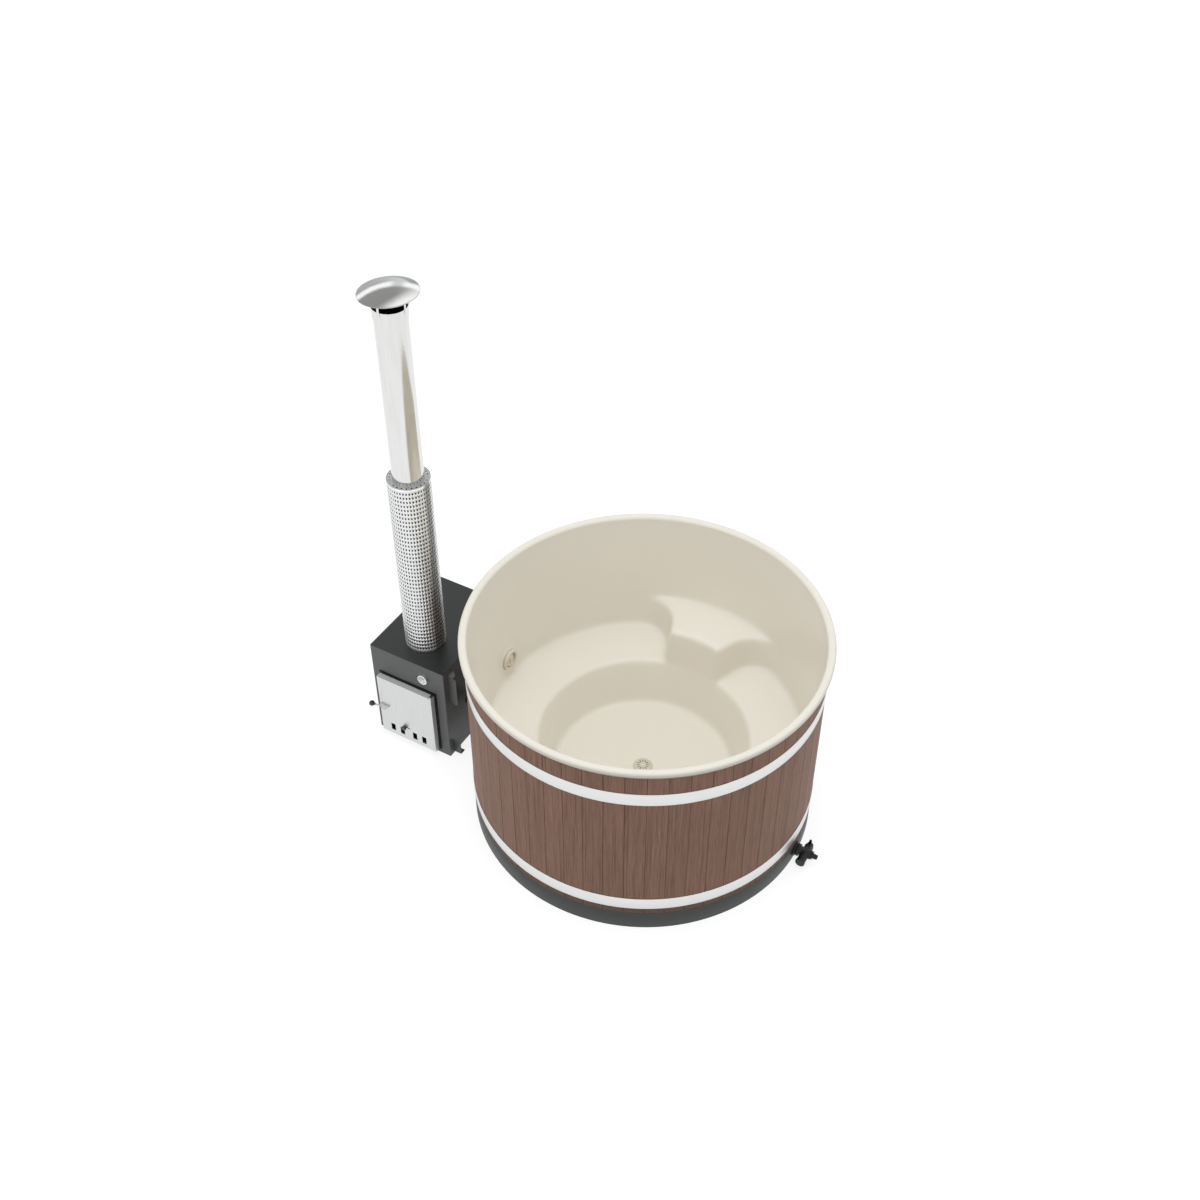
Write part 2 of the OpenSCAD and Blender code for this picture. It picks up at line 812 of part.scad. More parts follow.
rib_n = 3;
rib_h = 4.2;
rib_pitch = 5;
module hose_tail() {
    start = valve_outlet_x - 12;
    l = 42;
    color([0.12, 0.12, 0.13]) translate([start, 0, drain_z]) difference() {
        union() {
            along_x(tail_r + 4.2, 12);
            translate([12 + fit_gap, 0, 0]) along_x(valve_side_r - 1, 8);
            along_x(tail_r, l);
            for (i = [0 : rib_n - 1]) translate([21 + i * rib_pitch, 0, 0]) rotate([0, 90, 0])
                cylinder(r1 = tail_r + 1.8, r2 = tail_r, h = rib_h);
        }
        translate([-past, 0, 0]) along_x(tail_r - 3, l + 2 * past);
    }
}

module flow_cover(r) {
    deep = 19;
    difference() {
        rotate_extrude() polygon([
            [0, deep - 3], [r - 8, deep - 3], [r - 3, deep - 9], [r - 3, 0],
            [r, 0], [r, deep - 8], [r - 3, deep - 3], [r - 9, deep], [0, deep]
        ]);
        for (k = [-2 : 2]) {
            half = sqrt(pow(r * 0.72, 2) - pow(k * r / 5, 2));
            block(k * r / 5 - 2, k * r / 5 + 2, -half, half, deep - 6, deep + past);
        }
    }
}

module return_cover() {
    color([0.82, 0.8, 0.73]) outward(180, return_face_r, return_z)
        rotate([0, -90, 0]) flow_cover(return_cover_r);
}

module intake_cover() {
    color([0.82, 0.8, 0.73]) outward(intake_dir, intake_face_r, intake_z)
        rotate([0, -90, 0]) flow_cover(intake_cover_r);
}

module wall_fittings() {
    color([0.7, 0.7, 0.7]) {
        outward(180, return_face_r - flange_h, return_z)
            rotate([0, 90, 0]) pipe_fitting(fitting_l);
        outward(intake_dir, intake_face_r - flange_h, intake_z)
            rotate([0, 90, 0]) pipe_fitting(fitting_l);
    }
}

module return_hose() {
    start = return_back_r + nut_h + 2;
    color([0.08, 0.08, 0.09]) translate([casing_right + fit_gap, 0, return_z]) difference() {
        along_x(hose_r, -casing_right - start - fit_gap);
        translate([-past, 0, 0]) along_x(tube_r + 0.1, -casing_right - start + past);
    }
}

// The feed hose runs level: out along its fitting, round towards the stove,
// and round again until it lies along X. Each station is [x, y, heading].
bend_steps = 6;
function arc_stations(from, turn) =
    let (side = turn > 0 ? 1 : -1)
    let (c = [from.x, from.y] + hose_bend_r * side * [-sin(from.z), cos(from.z)])
    [for (k = [0 : bend_steps])
        let (h = from.z + turn * k / bend_steps)
        [c.x + hose_bend_r * side * sin(h), c.y - hose_bend_r * side * cos(h), h]];
function ahead(from, l) = [from.x + l * cos(from.z), from.y + l * sin(from.z), from.z];
feed_from = intake_back_r + nut_h + 2;
feed_start = ahead([0, 0, intake_dir], feed_from);
feed_bend = arc_stations(ahead(feed_start, feed_start_r - feed_from), -feed_in - feed_turn);
feed_return = arc_stations(ahead(feed_bend[bend_steps], feed_straight), feed_turn);
feed_path = concat([feed_start], feed_bend, feed_return,
    [[casing_right + fit_gap, feed_y, 180]]);

// A hollow tube swept along level stations, with flat sides
module swept_tube(path, r_out, r_in, sides) {
    n = len(path);
    function spot(s, r, k) = let (a = 360 * k / sides)
        [s.x - r * cos(a) * sin(s.z), s.y + r * cos(a) * cos(s.z), r * sin(a)];
    points = [
        for (s = path) each [for (k = [0 : sides - 1]) spot(s, r_out, k)],
        for (s = path) each [for (k = [0 : sides - 1]) spot(s, r_in, k)]
    ];
    inner = n * sides;
    function at(i, k) = i * sides + k % sides;
    function quad(a, b, c, d) = [[a, b, c], [a, c, d]];
    faces = [
        for (i = [0 : n - 2], k = [0 : sides - 1])
            each quad(at(i, k), at(i, k + 1), at(i + 1, k + 1), at(i + 1, k)),
        for (i = [0 : n - 2], k = [0 : sides - 1])
            each quad(inner + at(i + 1, k), inner + at(i + 1, k + 1),
                inner + at(i, k + 1), inner + at(i, k)),
        for (k = [0 : sides - 1])
            each quad(inner + at(0, k), inner + at(0, k + 1), at(0, k + 1), at(0, k)),
        for (k = [0 : sides - 1])
            each quad(at(n - 1, k), at(n - 1, k + 1), inner + at(n - 1, k + 1),
                inner + at(n - 1, k))
    ];
    polyhedron(points, faces, convexity = 6);
}

hose_sides = 24;
module feed_hose() {
    flat_r = (tube_r + 0.1) / cos(180 / hose_sides);
    color([0.08, 0.08, 0.09]) translate([0, 0, intake_z])
        swept_tube(feed_path, hose_r, flat_r, hose_sides);
}

module hose_clamp() {
    difference() {
        union() {
            along_x(hose_r + 1.6, 14);
            block(1, 13, -9, 9, hose_r, hose_r + 9);
        }
        translate([-past, 0, 0]) along_x(hose_r + 0.1, 16);
    }
}

module hose_clamps() {
    color([0.8, 0.82, 0.82]) {
        outward(180, stave_r + 8, return_z) hose_clamp();
        outward(180, -casing_right - 20, return_z) hose_clamp();
        outward(intake_dir, feed_from + 6, intake_z) hose_clamp();
        translate([casing_right + 6, feed_y, intake_z]) hose_clamp();
    }
}

// A rubber bush in the staves' bore, with a flange shaped to their round
module hose_grommet(y) {
    flange_r = hose_r + 9;
    nearest = max(abs(y) - flange_r, 0);
    outside = -sqrt(pow(stave_r, 2) - pow(nearest, 2)) - 3;
    inside = -sqrt(pow(stave_r, 2) - pow(y, 2)) + stave_t - 2;
    difference() {
        union() {
            difference() {
                translate([outside, y, 0]) along_x(flange_r, 20);
                translate([0, 0, -flange_r - past])
                    cylinder(r = stave_r + 0.1, h = 2 * (flange_r + past), $fn = 180);
            }
            translate([outside, y, 0]) along_x(hose_r + 2.7, inside - outside);
        }
        translate([outside - past, y, 0]) along_x(hose_r + 0.2, 60);
    }
}

module hose_grommets() {
    color([0.1, 0.1, 0.1]) {
        translate([0, 0, return_z]) hose_grommet(0);
        translate([0, 0, intake_z]) hose_grommet(feed_y);
    }
}

// A rectangle about the door's middle line, at a depth range
module door_rect(w, y1, y2, z1, z2) {
    block(door_x - w / 2, door_x + w / 2, y1, y2, z1, z2);
}

module heater_casing() {
    color([0.41, 0.42, 0.42]) difference() {
        block(casing_left, casing_right, casing_front, casing_back, 0, casing_h - sheet_t);
        block(casing_left + sheet_t, casing_right - sheet_t, casing_front + sheet_t,
            casing_back - sheet_t, -past, casing_h);
        door_rect(mouth_w + 2 * (lip_w + throat_t + fit_gap) - 6, casing_front - past,
            casing_front + 2 * past, mouth_z - lip_w - fit_gap, mouth_z + mouth_h + lip_w + fit_gap);
        translate([casing_right - 5, 0, return_z]) along_x(tube_r + 1, 10);
        translate([casing_right - 5, feed_y, intake_z]) along_x(tube_r + 1, 10);
        translate([dial_x, casing_front - past, dial_z]) along_y(4.3, 10);
    }
}

module casing_lid() {
    skirt = 20;
    gap = sheet_t + fit_gap;
    color([0.29, 0.3, 0.29]) difference() {
        union() {
            block(casing_left, casing_right, casing_front, casing_back,
                casing_h - sheet_t, casing_h);
            block(casing_left + gap, casing_right - gap, casing_front + gap,
                casing_back - gap, casing_h - skirt, casing_h - sheet_t / 2);
        }
        block(casing_left + gap + sheet_t, casing_right - gap - sheet_t,
            casing_front + gap + sheet_t, casing_back - gap - sheet_t,
            casing_h - skirt - past, casing_h - sheet_t);
        translate([flue_x, flue_y, casing_h - 5]) cylinder(r = flue_r + 0.6, h = 10);
    }
}

// The arched firebox, with its walls moved outward by t
module firebox_form(t, y1, y2) {
    half = firebox_w / 2 + t;
    block(door_x - half, door_x + half, y1, y2, firebox_z - t, firebox_spring_z);
    translate([door_x, y1, firebox_spring_z]) along_y(half, y2 - y1);
}

module water_jacket() {
    left = casing_left + jacket_side;
    right = casing_right - jacket_side;
    flue_low = firebox_spring_z + firebox_w / 2 - 40;
    port_l = port_end_x - right + 2;
    color([0.7, 0.71, 0.72]) difference() {
        union() {
            difference() {
                block(left, right, jacket_front, jacket_back, jacket_z, jacket_top);
                difference() {
                    block(left + jacket_t, right - jacket_t, jacket_front + jacket_t,
                        jacket_back - jacket_t, jacket_z + jacket_t, jacket_top - jacket_t);
                    firebox_form(jacket_t, jacket_front, firebox_back + jacket_t);
                    translate([flue_x, flue_y, flue_low]) cylinder(r = spigot_r, h = 200);
                }
            }
            translate([flue_x, flue_y, jacket_top - past]) cylinder(r = spigot_r, h = 70);
            for (x = [left + 20, right - 50])
                block(x, x + 30, jacket_front, jacket_back, 0, jacket_z + 1);
            translate([right - 2, 0, return_z]) along_x(tube_r, port_l);
            translate([right - 2, feed_y, intake_z]) along_x(tube_r, port_l);
        }
        firebox_form(0, jacket_front - past, firebox_back);
        translate([flue_x, flue_y, flue_low]) cylinder(r = spigot_r - 3, h = casing_h);
        translate([right - jacket_t - 2, 0, return_z]) along_x(tube_bore_r, 2 * port_l);
        translate([right - jacket_t - 2, feed_y, intake_z]) along_x(tube_bore_r, 2 * port_l);
    }
}

module fire_grate() {
    half = firebox_w / 2 - 8;
    end_gap = 40;
    y1 = jacket_front + end_gap;
    y2 = firebox_back - end_gap / 2;
    z1 = firebox_z + 32;
    pitch = 2 * half / grate_n;
    color([0.2, 0.19, 0.19]) difference() {
        union() {
            block(door_x - half, door_x + half, y1, y2, z1, z1 + 14);
            for (x = [door_x - half, door_x + half - 12], y = [y1, y2 - 12])
                block(x, x + 12, y, y + 12, firebox_z, z1 + past);
        }
        for (i = [0 : grate_n - 2])
            block(door_x - half + (i + 1) * pitch - pitch / 4,
                door_x - half + (i + 1) * pitch + pitch / 4, y1 + 16, y2 - 16,
                z1 - past, z1 + 14 + past);
    }
}

throat_w = mouth_w + 2 * lip_w - 6;
module door_frame() {
    back = casing_front - fit_gap;
    plate_over = 7;
    plate_w = door_w + 2 * plate_over;
    ear_x1 = hinge_x - 7;
    ear_x2 = hinge_x + 6;
    color([0.2, 0.2, 0.21]) difference() {
        union() {
            door_rect(plate_w, frame_front, back, door_z - plate_over, door_z + door_h + plate_over);
            for (z = [door_z - fit_gap - 4, door_z + door_h + fit_gap])
                block(ear_x1, ear_x2, hinge_y - 6, back, z, z + 4);
            for (z = [door_z - fit_gap - 4, door_z + door_h - 12])
                block(ear_x1, ear_x2, frame_front, back, z, z + 16);
        }
        door_rect(mouth_w, frame_front - past, back + past, mouth_z, mouth_z + mouth_h);
        translate([hinge_x, hinge_y, door_z - 6]) cylinder(r = hinge_pin_r, h = door_h + 12);
    }
}

// The sleeve between the door's frame and the water jacket
module door_throat() {
    back = casing_front - fit_gap;
    low = mouth_z - 5;
    high = mouth_z + mouth_h + 5;
    color([0.22, 0.22, 0.23]) difference() {
        door_rect(throat_w + 2 * throat_t, back, jacket_front, low - throat_t, high + throat_t);
        door_rect(throat_w, back - past, jacket_front + past, low, high);
    }
}

module hinge_pins() {
    color([0.75, 0.76, 0.77]) for (z = [door_z - fit_gap - 4, door_z + door_h + fit_gap - 14])
        translate([hinge_x, hinge_y, z]) cylinder(r = hinge_pin_r, h = 18);
}

module air_holes(y1, y2) {
    for (x = air_x)
        block(door_x + x - air_hole_w / 2, door_x + x + air_hole_w / 2, y1, y2,
            air_z, air_z + air_hole_h);
}

module door_pan() {
    inside = door_w - 2 * sheet_t;
    stem = knob_stem_r + 0.3;
    color([0.86, 0.87, 0.86]) difference() {
        union() {
            difference() {
                door_rect(door_w, door_front, door_back, door_z, door_z + door_h);
                door_rect(inside, door_front + sheet_t, door_back + past,
                    door_z + sheet_t, door_z + door_h - sheet_t);
            }
            for (z = [door_z, door_z + door_h - hinge_boss_h])
                translate([hinge_x, hinge_y, z]) cylinder(r = hinge_boss_r, h = hinge_boss_h);
        }
        for (z = [door_z - past, door_z + door_h - hinge_boss_h - past])
            translate([hinge_x, hinge_y, z])
                cylinder(r = hinge_pin_r + run_gap, h = hinge_boss_h + 2 * past);
        air_holes(door_front - past, door_front + 2 * past);
        translate([latch_x, door_front - past, latch_z]) along_y(latch_pin_r + run_gap, 4);
        block(knob_x, knob_x + air_travel, door_front - past, door_front + 2 * past,
            knob_z - stem, knob_z + stem);
        for (x = [knob_x, knob_x + air_travel])
            translate([x, door_front - past, knob_z]) along_y(stem, 4);
    }
}

module door_insulation() {
    color([0.83, 0.78, 0.68])
        block(latch_x + latch_pin_r + 3, hinge_x - hinge_boss_r - 4, door_front + sheet_t,
            door_back - backing_t, slider_high + 12, door_z + door_h - 5);
}

module door_backing() {
    color([0.45, 0.45, 0.46]) difference() {
        door_rect(door_w - 2 * sheet_t - 0.4, door_back - backing_t, door_back,
            door_z + sheet_t + 0.2, door_z + door_h - sheet_t - 0.2);
        air_holes(door_back - backing_t - past, door_back + past);
        translate([latch_x, door_back - backing_t - past, latch_z])
            along_y(latch_pin_r + run_gap, backing_t + 2 * past);
    }
}

module door_gasket() {
    color([0.3, 0.29, 0.28]) difference() {
        door_rect(mouth_w + 1 + 2 * gasket_w, door_back, door_back + gasket_t,
            mouth_z - 0.5 - gasket_w, mouth_z + mouth_h + 0.5 + gasket_w);
        door_rect(mouth_w + 1, door_back - past, door_back + gasket_t + past,
            mouth_z - 0.5, mouth_z + mouth_h + 0.5);
    }
}

// The lever turns outside the door and carries the hook's pin through it.
// Its rod leans away from the door, so that the ball knob swings clear of it.
lever_t = 8;
latch_rod_r = 3.9;
latch_knob_r = 14;
latch_rod_out = fit_gap + lever_t / 2 + 2;
latch_lean = asin((latch_knob_r + 1.5 - latch_rod_out) / latch_l);
module on_latch_rod() {
    translate([latch_x, door_front - latch_rod_out, latch_z])
        rotate([0, 0, latch_lean]) children();
}

module latch_lever() {
    front = door_front - fit_gap - lever_t;
    color([0.82, 0.83, 0.83]) {
        translate([latch_x, front, latch_z]) {
            along_y(19, lever_t);
            hull() {
                along_y(14, lever_t, $fn = 32);
                translate([33, 0, 13]) along_y(3, lever_t, $fn = 32);
            }
            along_y(latch_pin_r, hook_y + hook_t - front);
        }
        on_latch_rod() translate([-latch_l + 12, 0, 0]) along_x(latch_rod_r, latch_l - 20);
    }
}

module latch_knob() {
    color([0.06, 0.06, 0.07]) on_latch_rod() translate([-latch_l, 0, 0])
        rotate([0, 90, 0]) rotate_extrude()
            intersection() {
                difference() {
                    union() {
                        circle(r = latch_knob_r);
                        square([latch_rod_r + 2.1, latch_knob_r + 4]);
                    }
                    translate([0, 4]) square([latch_rod_r + 0.05, 30]);
                }
                translate([0, -20]) square([20, 40]);
            }
}

// The hook points up while the door is free, and turns behind the frame's lip
// when the knob is pushed down.
module latch_hook() {
    reach = 9.3;
    color([0.4, 0.4, 0.41]) translate([latch_x, hook_y, latch_z]) difference() {
        union() {
            along_y(latch_pin_r + 1.4, hook_t);
            block(-latch_pin_r - 1, latch_pin_r + 1, 0, hook_t, 0, reach);
        }
        translate([0, -past, 0]) along_y(latch_pin_r, hook_t + 2 * past);
    }
}

module air_slider() {
    left = door_x + air_x[0] - air_hole_w / 2 - air_travel - 3;
    right = door_x + air_x[3] + air_hole_w / 2 + 6;
    color([0.4, 0.41, 0.42]) {
        difference() {
            block(left, right, slider_y, slider_y + slider_t, slider_low, slider_high);
            air_holes(slider_y - past, slider_y + slider_t + past);
        }
        translate([knob_x, door_front - 6, knob_z]) along_y(knob_stem_r, slider_y - door_front + 7);
    }
}

module air_knob() {
    color([0.06, 0.06, 0.07]) translate([knob_x, door_front - fit_gap, knob_z]) rotate([90, 0, 0])
        difference() {
            rotate_extrude() polygon([
                [0, 0], [8, 0], [9, 4], [12, 6], [13, 9], [12.4, 13], [9, 16], [0, 17]
            ]);
            translate([0, 0, -past]) cylinder(r = knob_stem_r, h = 6.7 + past - fit_gap);
        }
}

module slider_guides() {
    left = door_x - door_w / 2 + sheet_t + 8;
    right = door_x + door_w / 2 - sheet_t - 14;
    back = slider_y + slider_t + fit_gap;
    start = door_front + sheet_t;
    color([0.5, 0.51, 0.52]) {
        block(left, right, start, back + 1.5, slider_high + fit_gap, slider_high + 3);
        block(left, right, back, back + 1.5, slider_high - 4, slider_high + 1);
        block(left, right, start, back + 1.5, slider_low - 3, slider_low - fit_gap);
        block(left, right, back, back + 1.5, slider_low - 1, slider_low + 4);
    }
}

module thermometer_case() {
    color([0.85, 0.86, 0.86]) translate([dial_x, dial_front, dial_z]) rotate([-90, 0, 0]) {
        rotate_extrude() polygon([
            [0, 11], [dial_r - 3, 11], [dial_r - 3, 2], [dial_r - 4, 0],
            [dial_r - 1, 0], [dial_r, 2], [dial_r, 14], [0, 14]
        ]);
        translate([0, 0, 11 + past])
            cylinder(r = 4, h = jacket_front - dial_front - 11 - past - fit_gap);
    }
}

module thermometer_dial() {
    color([0.95, 0.95, 0.94]) translate([dial_x, dial_front + 10, dial_z]) along_y(dial_r - 3.1, 1);
}

module thermometer_needle() {
    color([0.15, 0.15, 0.16]) translate([dial_x, dial_front + 8, dial_z])
        rotate([0, needle_rest, 0]) {
            along_y(2, 1.7);
            block(-0.8, 0.8, 0, 1, -7, dial_r - 8);
        }
}

module thermometer_glass() {
    color([0.9, 0.95, 0.97, 0.4]) translate([dial_x, dial_front + 2.2, dial_z])
        along_y(dial_r - 3.1, 1.5);
}

// A front-facing plate with a cropped shoulder and a tab folded back on top
bracket_y = casing_front + 37;
module side_bracket() {
    top = casing_h - 33;
    low = casing_h - 211;
    w = 42;
    color([0.4, 0.41, 0.41]) {
        rotate([90, 0, 0]) translate([0, 0, -3]) linear_extrude(3)
            polygon([[0, low], [w, low], [w, top - 16], [w - 4, top - 14], [w - 14, top - 11],
                     [w - 14, top], [0, top]]);
        translate([0, 0, top - 3]) linear_extrude(3)
            polygon([[0, 0], [w - 14, 0], [w - 14, 17], [0, 45]]);
    }
}

module side_brackets() {
    translate([casing_right, bracket_y, 0]) side_bracket();
    translate([casing_right, casing_front + casing_back - bracket_y, 0])
        mirror([0, 1, 0]) side_bracket();
}

module heater_foot() {
    color([0.4, 0.41, 0.41]) {
        rotate([90, 0, 0]) translate([0, 0, -3]) linear_extrude(3)
            polygon([[0, 0], [36, 0], [36, 62], [30, 72], [0, 80]]);
        block(0, 36, 0, 30, 0, 3);
    }
}

module heater_feet() {
    translate([casing_right, bracket_y, 0]) heater_foot();
    translate([casing_right, casing_front + casing_back - bracket_y, 0])
        mirror([0, 1, 0]) heater_foot();
}

module flue_pipe() {
    start = jacket_top + fit_gap;
    color([0.8, 0.81, 0.81]) translate([flue_x, flue_y, start])
        ring(flue_r, flue_r - flue_wall, flue_top - start);
}

module chimney_guard() {
    row_h = (guard_h - 30) / guard_rows;
    hole_w = guard_open * 2 * PI * guard_r / guard_columns;
    hole_h = guard_open * row_h;
    color([0.72, 0.73, 0.73]) translate([flue_x, flue_y, casing_h]) difference() {
        ring(guard_r, guard_r - guard_t, guard_h);
        for (i = [0 : guard_columns - 1], k = [0 : guard_rows - 1])
            rotate([0, 0, i * 360 / guard_columns])
                translate([guard_r - 6, -hole_w / 2, 15 + (k + 0.5) * row_h - hole_h / 2])
                    cube([12, hole_w, hole_h]);
    }
}

module guard_top_plate() {
    hole_n = 24;
    color([0.6, 0.61, 0.61]) translate([flue_x, flue_y, guard_top - 3]) difference() {
        ring(guard_r - guard_t - 0.1, flue_r + 0.4, 2);
        for (i = [0 : hole_n - 1])
            rotate([0, 0, i * 360 / hole_n]) translate([(guard_r + flue_r) / 2, 0, -past])
                cylinder(r = 4, h = 2 + 2 * past);
    }
}

module cap_collar() {
    color([0.8, 0.81, 0.81]) translate([flue_x, flue_y, cap_collar_z])
        ring(cap_collar_r, flue_r + 0.1, 45);
}

// Height of the dome's inner surface at a radius
function dome_under(r) =
    cap_z + (cap_rise - cap_t) * sqrt(1 - pow(r / (cap_r - cap_t), 2));
module cap_legs() {
    r = cap_collar_r;
    color([0.8, 0.81, 0.81]) for (a = [45 : 90 : 315])
        translate([flue_x, flue_y, 0]) rotate([0, 0, a])
            block(r, r + cap_leg_t, -cap_leg_w / 2, cap_leg_w / 2, cap_collar_z + 10,
                dome_under(norm([r + cap_leg_t, cap_leg_w / 2])) - 0.25);
}

module cap_dome() {
    n = 12;
    outer = [for (k = [0 : n]) [cap_r * sin(90 * k / n), cap_z + cap_rise * cos(90 * k / n)]];
    inner = [for (k = [n : -1 : 0])
        [(cap_r - cap_t) * sin(90 * k / n), cap_z + (cap_rise - cap_t) * cos(90 * k / n)]];
    color([0.84, 0.85, 0.85]) translate([flue_x, flue_y, 0]) rotate_extrude() polygon(concat(
        outer,
        [[cap_skirt_r, cap_z - cap_skirt_h], [cap_skirt_r - cap_t, cap_z - cap_skirt_h]],
        inner
    ));
}

liner();
base_ring();
floor_joists();
floor_deck();
floor_insulation();
seat_supports();
staves();
upper_hoop();
lower_hoop();
hoop_lugs();
hoop_bolts();
hoop_nuts();
drain_cover();
drain_fitting();
fitting_nuts();
drain_elbow();
drain_pipe();
valve_flange();
valve_body();
valve_ball();
valve_handle();
handle_screw();
valve_end_cap();
hose_tail();
return_cover();
intake_cover();
wall_fittings();
return_hose();
feed_hose();
hose_clamps();
hose_grommets();
heater_casing();
casing_lid();
water_jacket();
fire_grate();
door_frame();
door_throat();
hinge_pins();
door_pan();
door_insulation();
door_backing();
door_gasket();
latch_lever();
latch_knob();
latch_hook();
air_slider();
air_knob();
slider_guides();
thermometer_case();
thermometer_dial();
thermometer_needle();
thermometer_glass();
side_brackets();
heater_feet();
flue_pipe();
chimney_guard();
guard_top_plate();
cap_collar();
cap_legs();
cap_dome();
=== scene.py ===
import json
import math

import bpy
import bmesh
import numpy as np
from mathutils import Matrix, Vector


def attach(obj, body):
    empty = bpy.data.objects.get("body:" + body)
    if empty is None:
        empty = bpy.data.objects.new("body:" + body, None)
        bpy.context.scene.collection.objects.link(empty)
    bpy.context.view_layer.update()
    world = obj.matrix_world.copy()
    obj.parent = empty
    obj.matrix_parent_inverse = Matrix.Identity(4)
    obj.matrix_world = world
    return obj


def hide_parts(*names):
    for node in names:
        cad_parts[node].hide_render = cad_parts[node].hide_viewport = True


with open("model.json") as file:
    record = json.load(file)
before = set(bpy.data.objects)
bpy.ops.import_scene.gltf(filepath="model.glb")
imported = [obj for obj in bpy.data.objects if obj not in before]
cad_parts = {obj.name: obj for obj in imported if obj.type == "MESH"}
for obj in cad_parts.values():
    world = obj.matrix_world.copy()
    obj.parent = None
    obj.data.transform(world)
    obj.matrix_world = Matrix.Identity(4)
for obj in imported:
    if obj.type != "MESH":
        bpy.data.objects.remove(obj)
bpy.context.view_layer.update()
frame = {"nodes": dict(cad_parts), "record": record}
nodes = frame["nodes"]
scene = bpy.context.scene
ROOT = "tub_and_stove"
WHITE = (1.0, 1.0, 1.0, 1.0)


def srgb(r, g, b):
    """A colour given as 0-255 sRGB, as the linear values that shaders take."""
    out = []
    for c in (r, g, b):
        c = c / 255
        out.append(c / 12.92 if c <= 0.04045 else ((c + 0.055) / 1.055) ** 2.4)
    return (*out, 1.0)


# Camera, fitted to the rim and the base of the tub; it looks down from the level by CAMERA_DOWN
CAMERA_AT = (2.0967, -4.0284, 5.3327)
CAMERA_DOWN, CAMERA_TURN = 42.337, 30.0
camera_data = bpy.data.cameras.new("camera")
camera_data.sensor_width = 36.0
camera_data.lens = 44.325
camera_data.clip_start = 0.1
camera_data.clip_end = 100.0
camera = bpy.data.objects.new("camera", camera_data)
camera.location = CAMERA_AT
camera.rotation_euler = (math.radians(90.0 - CAMERA_DOWN), 0.0, math.radians(CAMERA_TURN))
scene.collection.objects.link(camera)
scene.camera = camera
scene.view_settings.view_transform = "Standard"


class Nodes:
    """A node tree, with short calls that add and link its nodes."""

    def __init__(self, tree):
        self.tree = tree

    def add(self, kind, **props):
        node = self.tree.nodes.new(kind)
        for key, value in props.items():
            setattr(node, key, value)
        return node

    def link(self, source, target):
        self.tree.links.new(source, target)

    def feed(self, value, socket):
        if isinstance(value, bpy.types.NodeSocket):
            self.link(value, socket)
        else:
            socket.default_value = value

    def math(self, operation, a, b=0.0, c=0.0):
        node = self.add("ShaderNodeMath", operation=operation)
        self.feed(a, node.inputs[0])
        self.feed(b, node.inputs[1])
        self.feed(c, node.inputs[2])
        return node.outputs[0]

    def looks_past(self):
        """1 for the rays of the camera, of metal and of glass, and 0 for those that carry light."""
        rays = self.add("ShaderNodeLightPath").outputs
        mirrored = self.math("MAXIMUM", rays["Is Glossy Ray"], rays["Is Transmission Ray"])
        return self.math("MAXIMUM", rays["Is Camera Ray"], mirrored)


class Shader(Nodes):
    """Builds one material from small named steps."""

    def __init__(self, name):
        self.material = bpy.data.materials.new(name)
        self.material.use_nodes = True
        super().__init__(self.material.node_tree)
        self.bsdf = self.tree.nodes["Principled BSDF"]
        self.position = self.add("ShaderNodeTexCoord").outputs["Object"]

    def split(self, vector):
        node = self.add("ShaderNodeSeparateXYZ")
        self.link(vector, node.inputs[0])
        return node.outputs

    def join(self, x, y, z):
        node = self.add("ShaderNodeCombineXYZ")
        for value, socket in zip((x, y, z), node.inputs):
            self.feed(value, socket)
        return node.outputs[0]

    def scaled(self, vector, scale):
        node = self.add("ShaderNodeMapping")
        self.link(vector, node.inputs["Vector"])
        node.inputs["Scale"].default_value = scale
        return node.outputs[0]

    def noise(self, vector, scale, detail=3.0, roughness=0.55, distortion=0.0):
        node = self.add("ShaderNodeTexNoise")
        self.link(vector, node.inputs["Vector"])
        node.inputs["Scale"].default_value = scale
        node.inputs["Detail"].default_value = detail
        node.inputs["Roughness"].default_value = roughness
        node.inputs["Distortion"].default_value = distortion
        return node.outputs["Fac"]

    def white(self, value):
        node = self.add("ShaderNodeTexWhiteNoise", noise_dimensions="1D")
        self.feed(value, node.inputs["W"])
        return node.outputs["Value"]

    def spread(self, value, low, high, new_low=0.0, new_high=1.0):
        node = self.add("ShaderNodeMapRange", interpolation_type="SMOOTHSTEP")
        self.feed(value, node.inputs["Value"])
        node.inputs["From Min"].default_value = low
        node.inputs["From Max"].default_value = high
        node.inputs["To Min"].default_value = new_low
        node.inputs["To Max"].default_value = new_high
        return node.outputs["Result"]

    def mix(self, factor, a, b, blend="MIX"):
        # Inputs 6 and 7 and output 2 are the node's sockets for colours
        node = self.add("ShaderNodeMix", data_type="RGBA", blend_type=blend)
        self.feed(factor, node.inputs["Factor"])
        self.feed(a, node.inputs[6])
        self.feed(b, node.inputs[7])
        return node.outputs[2]

    def bump(self, height, strength, distance):
        node = self.add("ShaderNodeBump")
        node.inputs["Strength"].default_value = strength
        node.inputs["Distance"].default_value = distance
        self.link(height, node.inputs["Height"])
        return node.outputs["Normal"]

    def set(self, **values):
        names = {
            "color": "Base Color", "metallic": "Metallic", "roughness": "Roughness",
            "normal": "Normal", "specular": "Specular IOR Level", "coat": "Coat Weight",
            "coat_roughness": "Coat Roughness", "sheen": "Sheen Weight", "alpha": "Alpha",
            "ior": "IOR",
        }
        for key, value in values.items():
            self.feed(value, self.bsdf.inputs[names[key]])
        return self.material


def tinted(color, factor):
    """A colour made lighter or darker, with its alpha left at 1."""
    return (*[min(1.0, c * factor) for c in color[:3]], 1.0)


